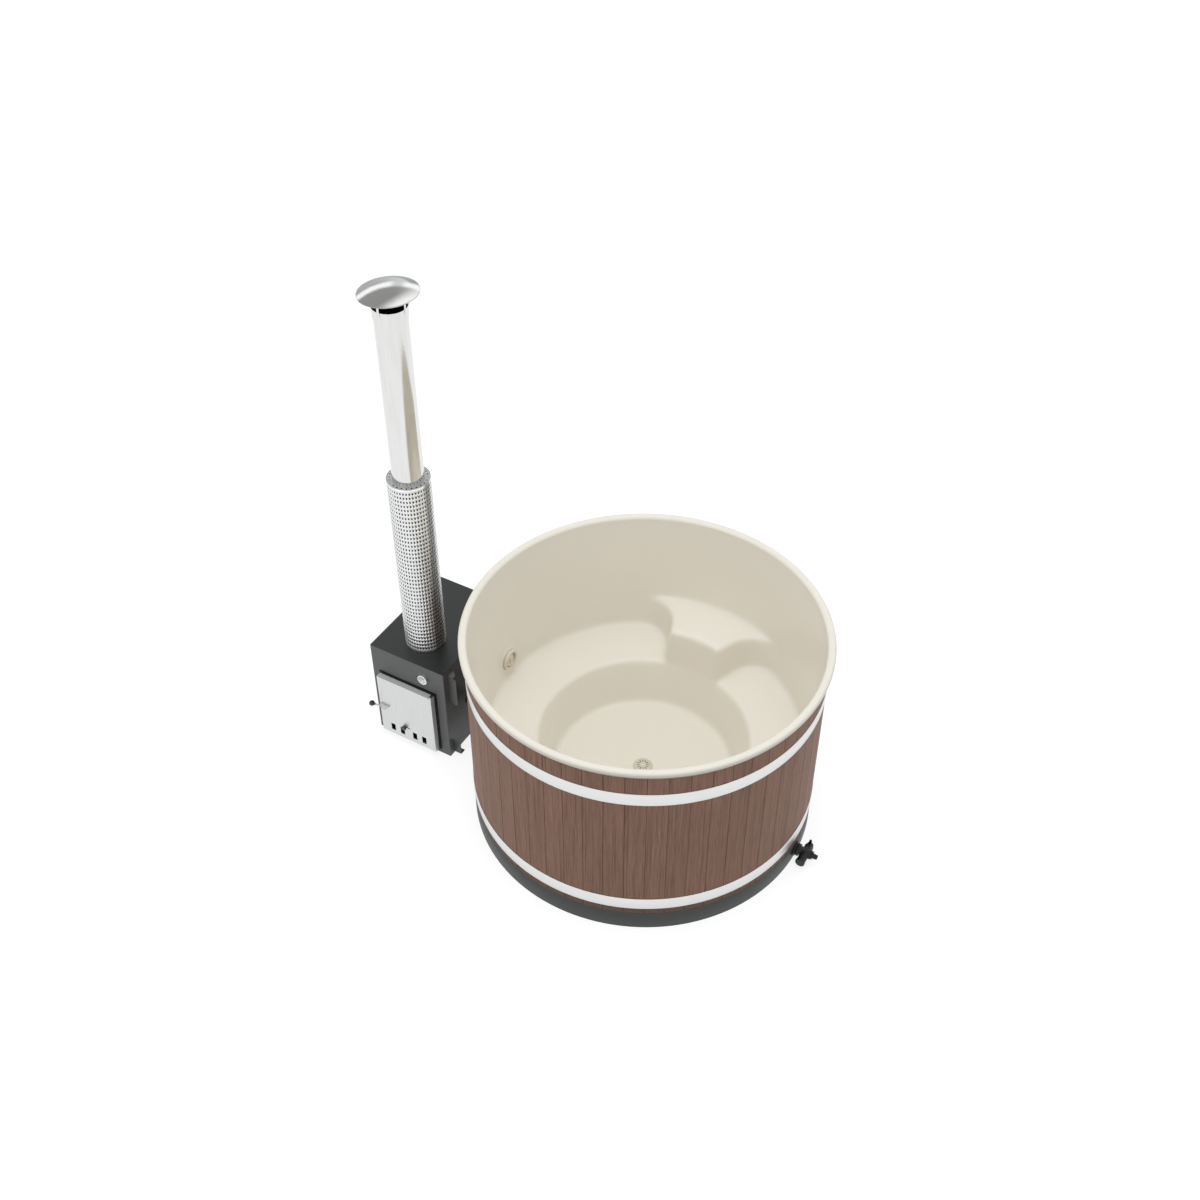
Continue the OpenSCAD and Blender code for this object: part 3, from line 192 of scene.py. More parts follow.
def stainless(name, color, roughness, streak_scale, streaks=0.12, metal=1.0):
    """Bright steel, with fine drawn streaks along the axis that is scaled least."""
    s = Shader(name)
    grain = s.noise(s.scaled(s.position, streak_scale), 1.0, 4.0, 0.6)
    cloud = s.noise(s.position, 9.0, 3.0)
    tone = s.mix(s.spread(grain, 0.3, 0.7), tinted(color, 1 - streaks),
                 tinted(color, 1 + streaks / 2))
    rough = s.math("MULTIPLY_ADD", cloud, 0.10, roughness - 0.05)
    rough = s.math("MULTIPLY_ADD", grain, 0.08, rough)
    return s.set(color=tone, metallic=metal, roughness=rough,
                 normal=s.bump(grain, 0.12, 0.0004))


def paint(name, color, roughness=0.45, orange_peel=0.15, wear=0.06):
    """Powder coat or stove paint: a fine orange peel and faint cloudy wear."""
    s = Shader(name)
    cloud = s.noise(s.position, 5.0, 4.0, 0.6)
    fine = s.noise(s.position, 900.0, 2.0)
    tone = s.mix(s.spread(cloud, 0.3, 0.7), tinted(color, 1 - wear), tinted(color, 1 + wear))
    rough = s.math("MULTIPLY_ADD", cloud, 0.12, roughness - 0.06)
    return s.set(color=tone, roughness=rough, specular=0.4,
                 normal=s.bump(fine, orange_peel, 0.0003))


def moulded(name, color, roughness=0.4, specular=0.5, texture=0.1, coat=0.0):
    """Moulded plastic, with a slight mottle and a fine spark-eroded grain."""
    s = Shader(name)
    mottle = s.noise(s.position, 14.0, 3.0)
    fine = s.noise(s.position, 1400.0, 2.0)
    tone = s.mix(s.spread(mottle, 0.3, 0.7), tinted(color, 0.97), tinted(color, 1.03))
    rough = s.math("MULTIPLY_ADD", mottle, 0.08, roughness - 0.04)
    return s.set(color=tone, roughness=rough, specular=specular, coat=coat,
                 coat_roughness=0.12, normal=s.bump(fine, texture, 0.0002))


def plain_wood(name, light, dark, along):
    """Sawn timber or plywood, with its grain along one axis."""
    s = Shader(name)
    scale = [60.0, 60.0, 60.0]
    scale["XYZ".index(along)] = 3.0
    grain = s.noise(s.scaled(s.position, scale), 1.0, 6.0, 0.65, 1.2)
    fine = s.noise(s.scaled(s.position, [v * 6 for v in scale]), 1.0, 3.0)
    tone = s.mix(s.spread(grain, 0.35, 0.7), light, dark)
    return s.set(color=tone, roughness=0.75, specular=0.25, normal=s.bump(fine, 0.3, 0.0006))


# The boards: how many, where the first joint stands, and a radius near their face
STAVE_COUNT, STAVE_TURN, STAVE_R = 56, -61.0, 0.78


def stave_wood(name):
    """Stained boards: each stave has its own tone and its own run of vertical grain."""
    s = Shader(name)
    x, y, z = s.split(s.position)
    turn = s.math("ARCTAN2", y, x)
    turn = s.math("SUBTRACT", turn, math.radians(STAVE_TURN))
    place = s.math("MULTIPLY", turn, STAVE_COUNT / (2 * math.pi))
    index = s.math("FLOOR", place)
    chance = s.white(index)
    other = s.white(s.math("ADD", index, 71.3))
    across = s.math("MULTIPLY", turn, STAVE_R)
    shifted = s.math("MULTIPLY_ADD", chance, 9.0, across)
    lift = s.math("MULTIPLY_ADD", other, 5.0, z)
    # Broad figure, drawn out along the board
    figure_at = s.join(s.math("MULTIPLY", shifted, 46.0), s.math("MULTIPLY", lift, 2.2), chance)
    figure = s.noise(figure_at, 1.0, 5.0, 0.62, 0.9)
    # Fine dark pores
    pore_at = s.join(s.math("MULTIPLY", shifted, 420.0), s.math("MULTIPLY", lift, 9.0), other)
    pores = s.noise(pore_at, 1.0, 3.0, 0.6)
    streak_at = s.join(s.math("MULTIPLY", shifted, 150.0), s.math("MULTIPLY", lift, 1.6), chance)
    streaks = s.noise(streak_at, 1.0, 4.0, 0.7, 0.4)
    base = s.mix(s.spread(figure, 0.3, 0.7), srgb(151, 116, 100), srgb(172, 135, 117))
    base = s.mix(s.spread(streaks, 0.46, 0.74, 0.0, 0.6), base, srgb(96, 70, 60))
    base = s.mix(s.spread(pores, 0.46, 0.74, 0.0, 0.5), base, srgb(84, 60, 52))
    tone = s.math("MULTIPLY_ADD", chance, 0.10, 0.95)
    tint = s.join(tone, s.math("MULTIPLY_ADD", other, 0.02, tone), tone)
    base = s.mix(1.0, base, tint, "MULTIPLY")
    # Thin dark joints between the boards
    beside = s.math("ABSOLUTE", s.math("SUBTRACT", s.math("FRACT", place), 0.5))
    strength = s.math("MULTIPLY_ADD", other, 0.5, 0.35)
    joint = s.math("MULTIPLY", s.spread(beside, 0.485, 0.496), strength)
    base = s.mix(joint, base, srgb(58, 40, 35))
    # The boards are darker towards their foot
    base = s.mix(s.spread(z, 0.18, 0.13, 0.0, 0.6), base, srgb(78, 66, 58))
    height = s.math("ADD", s.math("MULTIPLY", pores, -0.6), s.math("MULTIPLY", streaks, -0.5))
    rough = s.spread(figure, 0.3, 0.7, 0.5, 0.66)
    return s.set(color=base, roughness=rough, specular=0.22,
                 normal=s.bump(height, 0.45, 0.0012))


def acrylic(name):
    """The basin's cream gel coat: glossy, with the faintest waviness."""
    s = Shader(name)
    fleck = s.noise(s.position, 260.0, 2.0)
    wave = s.noise(s.position, 16.0, 2.0)
    tone = s.mix(s.spread(fleck, 0.62, 0.8, 0.0, 0.12), srgb(237, 232, 220), srgb(222, 214, 198))
    rough = s.math("MULTIPLY_ADD", fleck, 0.06, 0.26)
    return s.set(color=tone, roughness=rough, specular=0.45, coat=0.15, coat_roughness=0.15,
                 normal=s.bump(wave, 0.04, 0.002))


def rubber(name, color):
    s = Shader(name)
    dust = s.noise(s.position, 30.0, 4.0)
    fine = s.noise(s.position, 700.0, 2.0)
    tone = s.mix(s.spread(dust, 0.4, 0.75), color, tinted(color, 1.8))
    return s.set(color=tone, roughness=0.72, specular=0.3, normal=s.bump(fine, 0.25, 0.0004))


def cast(name, color):
    s = Shader(name)
    pits = s.noise(s.position, 260.0, 4.0, 0.7)
    rust = s.noise(s.position, 12.0, 5.0, 0.65)
    tone = s.mix(s.spread(rust, 0.55, 0.75, 0.0, 0.6), color, srgb(88, 58, 42))
    return s.set(color=tone, roughness=0.8, specular=0.3, normal=s.bump(pits, 0.6, 0.001))


def foam(name, color):
    s = Shader(name)
    cells = s.add("ShaderNodeTexVoronoi")
    s.link(s.position, cells.inputs["Vector"])
    cells.inputs["Scale"].default_value = 300.0
    tone = s.mix(s.spread(cells.outputs["Distance"], 0.2, 0.7, 0.0, 0.3), color, tinted(color, 0.8))
    return s.set(color=tone, roughness=0.9, specular=0.2,
                 normal=s.bump(cells.outputs["Distance"], 0.4, 0.001))


def rope(name, color):
    """Braided glass rope: short slanting strands."""
    s = Shader(name)
    x, y, z = s.split(s.position)
    slant = s.join(s.math("ADD", x, z), y, s.math("SUBTRACT", x, z))
    wave = s.add("ShaderNodeTexWave", wave_type="BANDS")
    s.link(slant, wave.inputs["Vector"])
    wave.inputs["Scale"].default_value = 90.0
    wave.inputs["Distortion"].default_value = 1.5
    tone = s.mix(s.spread(wave.outputs["Fac"], 0.2, 0.8), tinted(color, 0.6), tinted(color, 1.3))
    return s.set(color=tone, roughness=0.9, specular=0.15, sheen=0.3,
                 normal=s.bump(wave.outputs["Fac"], 0.5, 0.001))


def glass(name):
    """A thin flat pane: it lets the dial through and keeps a faint gloss."""
    s = Shader(name)
    smear = s.noise(s.position, 60.0, 3.0)
    return s.set(color=(0.95, 0.97, 0.98, 1.0), roughness=s.spread(smear, 0.4, 0.7, 0.03, 0.08),
                 alpha=0.04, ior=1.45)


# The flue's axis, and the cap on it: radius, rise, height of its edge, thickness, lean
FLUE_X, FLUE_Y = -1.100, -0.118
CAP_R, CAP_RISE, CAP_Z, CAP_T, CAP_LEAN = 0.1240, 0.022, 2.3915, 0.0015, 0.049
# The painted reflection bands on the cap run along this direction of the object
REFLECTION_X, REFLECTION_Y = 0.866, 0.5


def steel_with_soot_and_shade(name, color, roughness, streak_scale, inside, outside, metal=1.0, shaded_below_z=0.0,
                reflection_band=None):
    """Bright steel beyond the radius outside, about the flue, and near-black steel within the
    radius
    inside: sooty in the flue pipe, and painted shade on the inner face of the guard.

    Below the given height the steel is painted darker, as painted shade where the pipe runs inside
    the guard. The last argument gives the angles of a dark stripe of painted reflection.
    """
    s = Shader(name)
    x, y, z = s.split(s.position)
    east = s.math("SUBTRACT", x, FLUE_X)
    north = s.math("SUBTRACT", y, FLUE_Y)
    reach = s.math("SQRT", s.math("ADD", s.math("POWER", east, 2.0), s.math("POWER", north, 2.0)))
    shine = s.spread(reach, inside, outside)
    grain = s.noise(s.scaled(s.position, streak_scale), 1.0, 4.0, 0.6)
    cloud = s.noise(s.position, 9.0, 3.0)
    # Near black within the radius inside: sooty in the flue pipe, painted shade on the inner face
    # of the guard
    soot_and_shade = s.mix(s.spread(cloud, 0.3, 0.7), srgb(14, 13, 13), srgb(26, 24, 23))
    steel = s.mix(s.spread(grain, 0.3, 0.7), tinted(color, 0.96), tinted(color, 1.02))
    if reflection_band:
        # Painted reflection: a dark stripe between the given angles about the flue, rising with
        # height, for the dark tub and stove mirrored in the guard
        turn = s.math("ARCTAN2", north, east)
        start = s.spread(z, reflection_band["z_low"], reflection_band["z_high"], reflection_band["low"], reflection_band["high"])
        into = s.spread(s.math("SUBTRACT", turn, start), 0.0, 0.22)
        shade = s.math("MULTIPLY", into, s.spread(turn, reflection_band["end"] + 0.12, reflection_band["end"] - 0.10))
        steel = s.mix(s.math("MULTIPLY", shade, 0.8), steel, srgb(118, 120, 119))
    # Painted shade: darker steel below the given height, where the pipe runs inside the guard
    if shaded_below_z:
        steel = s.mix(s.spread(z, shaded_below_z - 0.02, shaded_below_z), srgb(84, 82, 79), steel)
    rough = s.math("MULTIPLY_ADD", cloud, 0.08, roughness - 0.04)
    rough = s.math("ADD", rough, s.spread(reach, inside, outside, 0.7, 0.0))
    return s.set(color=s.mix(shine, soot_and_shade, steel), metallic=s.math("MULTIPLY", shine, metal),
                 roughness=rough, normal=s.bump(grain, 0.06, 0.0003))


def spun_cap(name):
    """The cap's polished dome: broad soft bands of painted reflection, light and dark, on the
    steel, and below it near black, sooty and painted shade.
    """
    s = Shader(name)
    x, y, z = s.split(s.position)
    east = s.math("DIVIDE", s.math("SUBTRACT", x, FLUE_X), CAP_R)
    north = s.math("DIVIDE", s.math("SUBTRACT", y, FLUE_Y), CAP_R)
    across = s.math("ADD", s.math("MULTIPLY", east, REFLECTION_X), s.math("MULTIPLY", north, REFLECTION_Y))
    along = s.math("SUBTRACT", s.math("MULTIPLY", north, REFLECTION_X), s.math("MULTIPLY", east, REFLECTION_Y))
    flat = s.math("ADD", s.math("POWER", east, 2.0), s.math("POWER", north, 2.0))
    top_z = s.math("MULTIPLY_ADD", s.math("SUBTRACT", 1.0, flat), CAP_RISE, CAP_Z)
    top_z = s.math("MULTIPLY_ADD", east, CAP_LEAN * CAP_R, top_z)
    depth = s.math("SUBTRACT", top_z, z)
    outer = s.math("MAXIMUM", s.spread(depth, 0.0009, 0.0005), s.math("GREATER_THAN", flat, 0.98))
    # Painted reflection: a ragged light S over a dark middle, as the steel would mirror a bright
    # room;
    # across and along run from -1 to 1 over the cap
    drift = s.math("MULTIPLY_ADD", s.noise(s.position, 22.0, 3.0), 0.12, -0.06)
    place = s.math("ADD", along, drift)
    square = s.math("POWER", across, 2.0)
    ridge = s.math("MULTIPLY_ADD", square, -0.33, s.math("MULTIPLY_ADD", across, 0.24, 0.14))
    above = s.math("SUBTRACT", place, ridge)
    below = s.math("SUBTRACT", place, s.math("MULTIPLY_ADD", across, 0.97, -1.07))
    aside = s.math("ABSOLUTE", s.math("SUBTRACT", across, 0.3))
    light = s.mix(s.spread(aside, 0.05, 0.30), srgb(202, 204, 203), srgb(246, 247, 246))
    upper = s.mix(s.spread(across, -0.4, 0.4), srgb(156, 158, 157), srgb(192, 194, 193))
    middle = s.mix(s.spread(across, 0.25, 0.90), srgb(138, 139, 136), srgb(188, 189, 187))
    steel = s.mix(s.spread(below, -0.25, 0.40), srgb(240, 241, 240), middle)
    steel = s.mix(s.spread(above, -0.27, -0.04), steel, light)
    steel = s.mix(s.spread(above, 0.06, 0.30), steel, upper)
    # More painted reflection: a darker far side of the dome, and a darker rolled edge
    far_edge = s.math("MULTIPLY", s.spread(flat, 0.48, 0.62), s.spread(along, 0.25, 0.45))
    steel = s.mix(far_edge, steel, srgb(136, 140, 139))
    steel = s.mix(s.spread(flat, 0.955, 0.985, 0.0, 0.5), steel, srgb(150, 152, 151))
    reach = s.math("SQRT", flat)
    spin = s.noise(s.join(s.math("MULTIPLY", reach, 110.0), 0.0, 0.0), 1.0, 2.0)
    # The underside of the dome is near black: sooty, and painted shade for the dark gap under the
    # cap
    soot_and_shade = s.noise(s.position, 30.0, 3.0)
    under = s.mix(s.spread(soot_and_shade, 0.3, 0.7), srgb(10, 10, 10), srgb(20, 19, 18))
    rough = s.math("ADD", s.math("MULTIPLY_ADD", spin, 0.04, 0.20),
                   s.spread(outer, 0.0, 1.0, 0.5, 0.0))
    return s.set(color=s.mix(outer, under, steel), metallic=outer, roughness=rough,
                 normal=s.bump(spin, 0.03, 0.0002))


# One material for each slot of the record
materials = {
    "moulding": acrylic("moulding"),
    "cover_plastic": moulded("cover_plastic", srgb(221, 213, 194), 0.28, 0.5, 0.05, 0.2),
    "ring_paint": paint("ring_paint", srgb(66, 69, 68), 0.5),
    "casing_paint": paint("casing_paint", srgb(104, 107, 106), 0.42),
    "lid_paint": paint("lid_paint", srgb(36, 39, 38), 0.34),
    "stave_wood": stave_wood("stave_wood"),
    "timber": plain_wood("timber", srgb(196, 162, 118), srgb(150, 112, 74), "X"),
    "board": plain_wood("board", srgb(205, 176, 132), srgb(164, 128, 86), "Y"),
    "foam": foam("foam", srgb(226, 230, 233)),
    "stainless": stainless("stainless", srgb(226, 229, 229), 0.2, (6.0, 6.0, 700.0)),
    "door_steel": stainless("door_steel", srgb(236, 237, 237), 0.34, (700.0, 60.0, 6.0), 0.08,
                            metal=0.55),
    "black_plastic": moulded("black_plastic", srgb(13, 14, 14), 0.3, 0.4, 0.1),
    "grey_plastic": moulded("grey_plastic", srgb(150, 152, 154), 0.4, 0.5, 0.1),
    "hose_rubber": rubber("hose_rubber", srgb(26, 26, 28)),
    "jacket_aluminium": stainless("jacket_aluminium", srgb(196, 198, 200), 0.45,
                                  (200.0, 200.0, 8.0)),
    "grate_iron": cast("grate_iron", srgb(58, 54, 52)),
    "black_steel": paint("black_steel", srgb(16, 16, 17), 0.6, 0.3),
    "refractory": foam("refractory", srgb(214, 202, 178)),
    "gasket_rope": rope("gasket_rope", srgb(92, 88, 84)),
    "dial_white": stainless("dial_steel", srgb(243, 244, 243), 0.38, (400.0, 400.0, 400.0), 0.03),
    "needle_black": paint("needle_black", srgb(46, 46, 48), 0.4),
    "dial_glass": glass("dial_glass"),
    "knob_black": moulded("knob_black", srgb(18, 18, 20), 0.2, 0.5, 0.05, 0.5),
}
polished_pipe = steel_with_soot_and_shade("polished_pipe", srgb(222, 222, 221), 0.13, (60.0, 60.0, 4.0),
                            inside=0.0692, outside=0.0696, shaded_below_z=1.496)
hoop_steel = stainless("hoop_steel", srgb(226, 227, 226), 0.38, (5.0, 5.0, 500.0), 0.04)

# Nodes with a finish of their own within their slot
own = {
    "flue_pipe": polished_pipe,
    "cap_collar": polished_pipe,
    "cap_legs": polished_pipe,
    "cap_dome": spun_cap("spun_cap"),
    "chimney_guard": steel_with_soot_and_shade(
        "guard_steel", srgb(246, 248, 247), 0.36, (80.0, 80.0, 10.0), inside=0.0938,
        outside=0.0946, metal=0.7,
        reflection_band={"z_low": 0.55, "z_high": 1.30, "low": -0.55, "high": -0.30, "end": 0.20}),
    # The guard's top plate: the guard's sheet in a darker grey, as painted shade
    "guard_top_plate": stainless("guard_plate_painted_shade", srgb(186, 187, 185), 0.4, (80.0, 80.0, 10.0), 0.05),
    "latch_lever": stainless("lever_steel", srgb(186, 190, 189), 0.3, (90.0, 700.0, 90.0), 0.06),
    "drain_cover": moulded("drain_plastic", srgb(214, 208, 190), 0.3, 0.5, 0.05, 0.2),
    "thermometer_case": stainless("bezel_steel", srgb(240, 241, 240), 0.3,
                                  (300.0, 300.0, 300.0), 0.03),
    "upper_hoop": hoop_steel,
    "lower_hoop": hoop_steel,
}
slot_of = {row["node"]: row["material_slot"] for row in frame["record"]["subparts"]}
for name, obj in nodes.items():
    obj.data.materials.clear()
    obj.data.materials.append(own.get(name, materials[slot_of[name]]))


WELD_GAP = 0.00002
SHARP = math.radians(40.0)


def soften(name, width):
    """Rounds the sharp edges of a CAD node a little, for the light to catch."""
    obj = nodes[name]
    weld = obj.modifiers.new("weld", "WELD")
    weld.merge_threshold = WELD_GAP
    bevel = obj.modifiers.new("bevel", "BEVEL")
    bevel.width = width
    bevel.segments = 2
    bevel.limit_method = "ANGLE"
    bevel.angle_limit = SHARP
    bevel.harden_normals = False


def mesh_piece(name, verts, faces, material, body=ROOT, smooth=True):
    mesh = bpy.data.meshes.new(name)
    mesh.from_pydata([tuple(v) for v in verts], [], [tuple(f) for f in faces])
    mesh.update()
    mesh.materials.append(material)
    if smooth:
        mesh.shade_smooth()
    obj = bpy.data.objects.new(name, mesh)
    scene.collection.objects.link(obj)
    if body:
        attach(obj, body)
    return obj


def apply_modifiers(obj):
    """Leaves the modified mesh as the object's own mesh."""
    evaluated = obj.evaluated_get(bpy.context.evaluated_depsgraph_get())
    mesh = bpy.data.meshes.new_from_object(evaluated)
    obj.modifiers.clear()
    obj.data = mesh
    return obj


def lathe(profile, steps, closed=False):
    """Vertices and faces of a profile of (r, z) turned about Z."""
    angles = np.arange(steps) * 2 * math.pi / steps
    verts = [(r * math.cos(a), r * math.sin(a), z) for a in angles for r, z in profile]
    n = len(profile)
    spans = n if closed else n - 1
    faces = []
    for i in range(steps):
        j = (i + 1) % steps
        for k in range(spans):
            m = (k + 1) % n
            faces.append((i * n + k, j * n + k, j * n + m, i * n + m))
    return verts, faces


def rounded_path(points, radii, steps=6):
    """A path of corners with each inner corner rounded by its radius."""
    points = [np.array(p, float) for p in points]
    out = [points[0]]
    for a, b, c, r in zip(points, points[1:], points[2:], radii[1:]):
        if r <= 0:
            out.append(b)
            continue
        u = (a - b) / np.linalg.norm(a - b)
        w = (c - b) / np.linalg.norm(c - b)
        half = math.acos(max(-1.0, min(1.0, float(u @ w)))) / 2
        middle = (u + w) / np.linalg.norm(u + w)
        centre = b + middle * r / math.sin(half)
        first, last = b + u * r / math.tan(half) - centre, b + w * r / math.tan(half) - centre
        start = math.atan2(first[1], first[0])
        sweep = math.atan2(last[1], last[0]) - start
        sweep = (sweep + math.pi) % (2 * math.pi) - math.pi
        for k in range(steps + 1):
            a_k = start + sweep * k / steps
            out.append(centre + r * np.array([math.cos(a_k), math.sin(a_k)]))
    out.append(points[-1])
    return out


# The basin, in the sizes of the CAD, with every inner edge blended softly
DRAFT = 0.0817
FLOOR_R, FLOOR_Z = 0.410, 0.160
SEAT_R, SEAT_Z, SEAT_RISE = 0.478, 0.375, 0.020
WALL_TOP_R, WALL_TOP_Z = 0.764, 1.000
TUB_H, RIM_R, BEAD_Z = 1.020, 0.800, 0.980
BEAD_H, SKIRT_R, SHELL_T = 0.020, 0.7805, 0.006
SKIRT_IN_R, SKIRT_TOP_Z = 0.7715, 0.9985
STEP_TOP, STEP_W, FLARE, FLARE_R, STEP_ROUND = 0.565, 0.254, 22.0, 0.145, 0.022
STEP_CORNER = 0.022
# The step reaches down into the seat and back into the wall, where the remesh joins them
STEP_FOOT_Z, STEP_BACK_R = 0.34, 0.775
# The pads of the return nozzle and of the intake: direction, height, face, back and radius
RETURN_Z, RETURN_FACE_R = 0.500, 0.7164
RETURN_PAD = (180.0, RETURN_Z, RETURN_FACE_R, 0.77, 0.054)
INTAKE_PAD = (212.0, 0.242, 0.4229, 0.48, 0.038)
# The section starts this close to the axis. The block outside the basin goes down to BLOCK_Z,
# and all faces below CUT_Z or beyond CUT_R are cut off it again
AXIS_R, BLOCK_Z, CUT_Z, CUT_R = 0.0005, 0.10, 0.14, 0.785
VOXEL = 0.0055
# The rim's piece takes over at this height, and starts a little below it
JOIN_Z, JOIN_OVERLAP = 0.950, 0.006
# Where each smoothing ends, and the stretch over which it fades
SEAT_BLEND_Z, SEAT_FADE_Z = 0.80, 0.12
STEP_BLEND_Z, STEP_FADE_Z = 0.70, 0.08
STEP_BLEND_TURN, STEP_FADE_TURN = 38.0, 10.0
STEP_BLEND_R, STEP_FADE_R = 0.40, 0.05


def wall_r(z):
    """The inner radius of the wall at a height, above the seat."""
    return WALL_TOP_R - DRAFT * (WALL_TOP_Z - z)


def step_outline(grow, front_r, offset, foot, arc_steps=10, front_steps=18):
    """Plan of the entry step about +X, with its faces moved outward by grow."""
    a = math.radians(FLARE)
    n = np.array([-math.sin(a), math.cos(a)])
    d = np.array([math.cos(a), math.sin(a)])
    r = front_r - grow
    line = offset + grow
    half = math.asin(line / r) + a
    hollow = FLARE_R - grow
    centre = (offset + FLARE_R) * n + foot * d
    outward = math.atan2(centre[1], centre[0])
    start = math.atan2(-n[1], -n[0])
    sweep = (outward - start) % (2 * math.pi)
    before = half - 2 * STEP_CORNER / r
    front = [(r * math.cos(t), r * math.sin(t))
             for t in np.linspace(-before, before, front_steps)]
    corner = np.array([r * math.cos(half), r * math.sin(half)])
    bend = rounded_path([front[-1], corner, corner + 2 * STEP_CORNER * d], [0, STEP_CORNER, 0])
    bend = [tuple(q) for q in bend[1:-1]]
    front = [(x, -y) for x, y in reversed(bend)] + front + bend
    upper = [tuple(centre + hollow * np.array([math.cos(t), math.sin(t)]))
             for t in start + sweep * np.linspace(0, 1, arc_steps)]
    far = math.atan2(upper[-1][1], upper[-1][0])
    back = [(STEP_BACK_R * math.cos(t), STEP_BACK_R * math.sin(t))
            for t in np.linspace(far, -far, front_steps)]
    lower = [(x, -y) for x, y in reversed(upper)]
    return front + upper + back + lower


def step_solid():
    """The entry step as a closed stack of outlines, turned to +Y."""
    front_r = SEAT_R + DRAFT * (STEP_TOP - SEAT_Z)
    a = math.radians(FLARE)
    half = math.asin(STEP_W / 2 / front_r)
    offset = front_r * math.sin(half - a)
    foot = math.sqrt((wall_r(STEP_TOP) - FLARE_R) ** 2 - (offset + FLARE_R) ** 2)
    edge_z = STEP_TOP - STEP_ROUND
    edge_grow = DRAFT * STEP_ROUND
    levels = [(STEP_FOOT_Z, DRAFT * (STEP_TOP - STEP_FOOT_Z)), (edge_z, edge_grow)]
    for k in range(1, 7):
        t = math.radians(15.0 * k)
        levels.append((edge_z + STEP_ROUND * math.sin(t),
                       edge_grow - STEP_ROUND + STEP_ROUND * math.cos(t)))
    verts, faces = [], []
    for z, grow in levels:
        ring = step_outline(grow, front_r, offset, foot)
        verts += [(-y, x, z) for x, y in ring]
    n = len(ring)
    for i in range(len(levels) - 1):
        for k in range(n):
            m = (k + 1) % n
            faces.append((i * n + k, i * n + m, (i + 1) * n + m, (i + 1) * n + k))
    faces.append(tuple(reversed(range(n))))
    faces.append(tuple((len(levels) - 1) * n + k for k in range(n)))
    return verts, faces


def pad_solid(direction, z, face_r, back_r, radius, steps=64):
    """The flat round pad of a flow fitting, as a short closed cylinder."""
    a = math.radians(direction)
    out = Vector((math.cos(a), math.sin(a), 0.0))
    side = Vector((-math.sin(a), math.cos(a), 0.0))
    verts = []
    for r in (face_r, back_r):
        for t in np.arange(steps) * 2 * math.pi / steps:
            verts.append(out * r + side * radius * math.cos(t)
                         + Vector((0, 0, z + radius * math.sin(t))))
    faces = [(k, (k + 1) % steps, steps + (k + 1) % steps, steps + k) for k in range(steps)]
    faces.append(tuple(reversed(range(steps))))
    faces.append(tuple(range(steps, 2 * steps)))
    return verts, faces


def joined(parts):
    """Several sets of vertices and faces as one."""
    verts, faces = [], []
    for v, f in parts:
        base = len(verts)
        verts += [tuple(p) for p in v]
        faces += [tuple(i + base for i in face) for face in f]
    return verts, faces


inner = rounded_path(
    [(AXIS_R, FLOOR_Z), (FLOOR_R, FLOOR_Z), (SEAT_R, SEAT_Z),
     (wall_r(SEAT_Z + SEAT_RISE), SEAT_Z + SEAT_RISE), (WALL_TOP_R, WALL_TOP_Z)],
    [0, 0.030, 0.025, 0.035, 0])
block = [(RIM_R, WALL_TOP_Z), (RIM_R, BLOCK_Z), (AXIS_R, BLOCK_Z)]
section = inner + [np.array(p) for p in block]
verts, faces = joined([
    lathe(section, 256, closed=True),
    step_solid(),
    pad_solid(*RETURN_PAD),
    pad_solid(*INTAKE_PAD),
])
basin = mesh_piece("basin_moulding", verts, faces, materials["moulding"], body=None)
fix = bmesh.new()
fix.from_mesh(basin.data)
bmesh.ops.recalc_face_normals(fix, faces=fix.faces)
fix.to_mesh(basin.data)
fix.free()
remesh = basin.modifiers.new("remesh", "REMESH")
remesh.mode = "VOXEL"
remesh.voxel_size = VOXEL
apply_modifiers(basin)


def points(obj):
    """The places of a mesh's vertices, as rows of x, y, z."""
    co = np.empty(len(obj.data.vertices) * 3)
    obj.data.vertices.foreach_get("co", co)
    return co.reshape(-1, 3)


def melt(obj, name, weight, iterations):
    """Smooths a mesh by a weight for each vertex, and keeps the result."""
    group = obj.vertex_groups.new(name=name)
    for level in range(11):
        picked = np.nonzero(np.round(weight * 10) == level)[0]
        group.add(picked.tolist(), level / 10, "REPLACE")
    smooth = obj.modifiers.new(name, "SMOOTH")
    smooth.factor = 0.5
    smooth.iterations = iterations
    smooth.vertex_group = name
    apply_modifiers(obj)


# Soft blends: strong about the seat and the step, none high on the wall
co = points(basin)
melt(basin, "seat_blend", np.clip((SEAT_BLEND_Z - co[:, 2]) / SEAT_FADE_Z, 0, 1), 22)

# More smoothing about the step alone, which melts into the seat and the wall
co = points(basin)
aside = np.abs(np.degrees(np.arctan2(co[:, 0], co[:, 1])))
near_step = np.clip((STEP_BLEND_TURN - aside) / STEP_FADE_TURN, 0, 1)
near_step *= np.clip((STEP_BLEND_Z - co[:, 2]) / STEP_FADE_Z, 0, 1)
near_step *= np.clip((np.hypot(co[:, 0], co[:, 1]) - STEP_BLEND_R) / STEP_FADE_R, 0, 1)
melt(basin, "step_blend", near_step, 60)

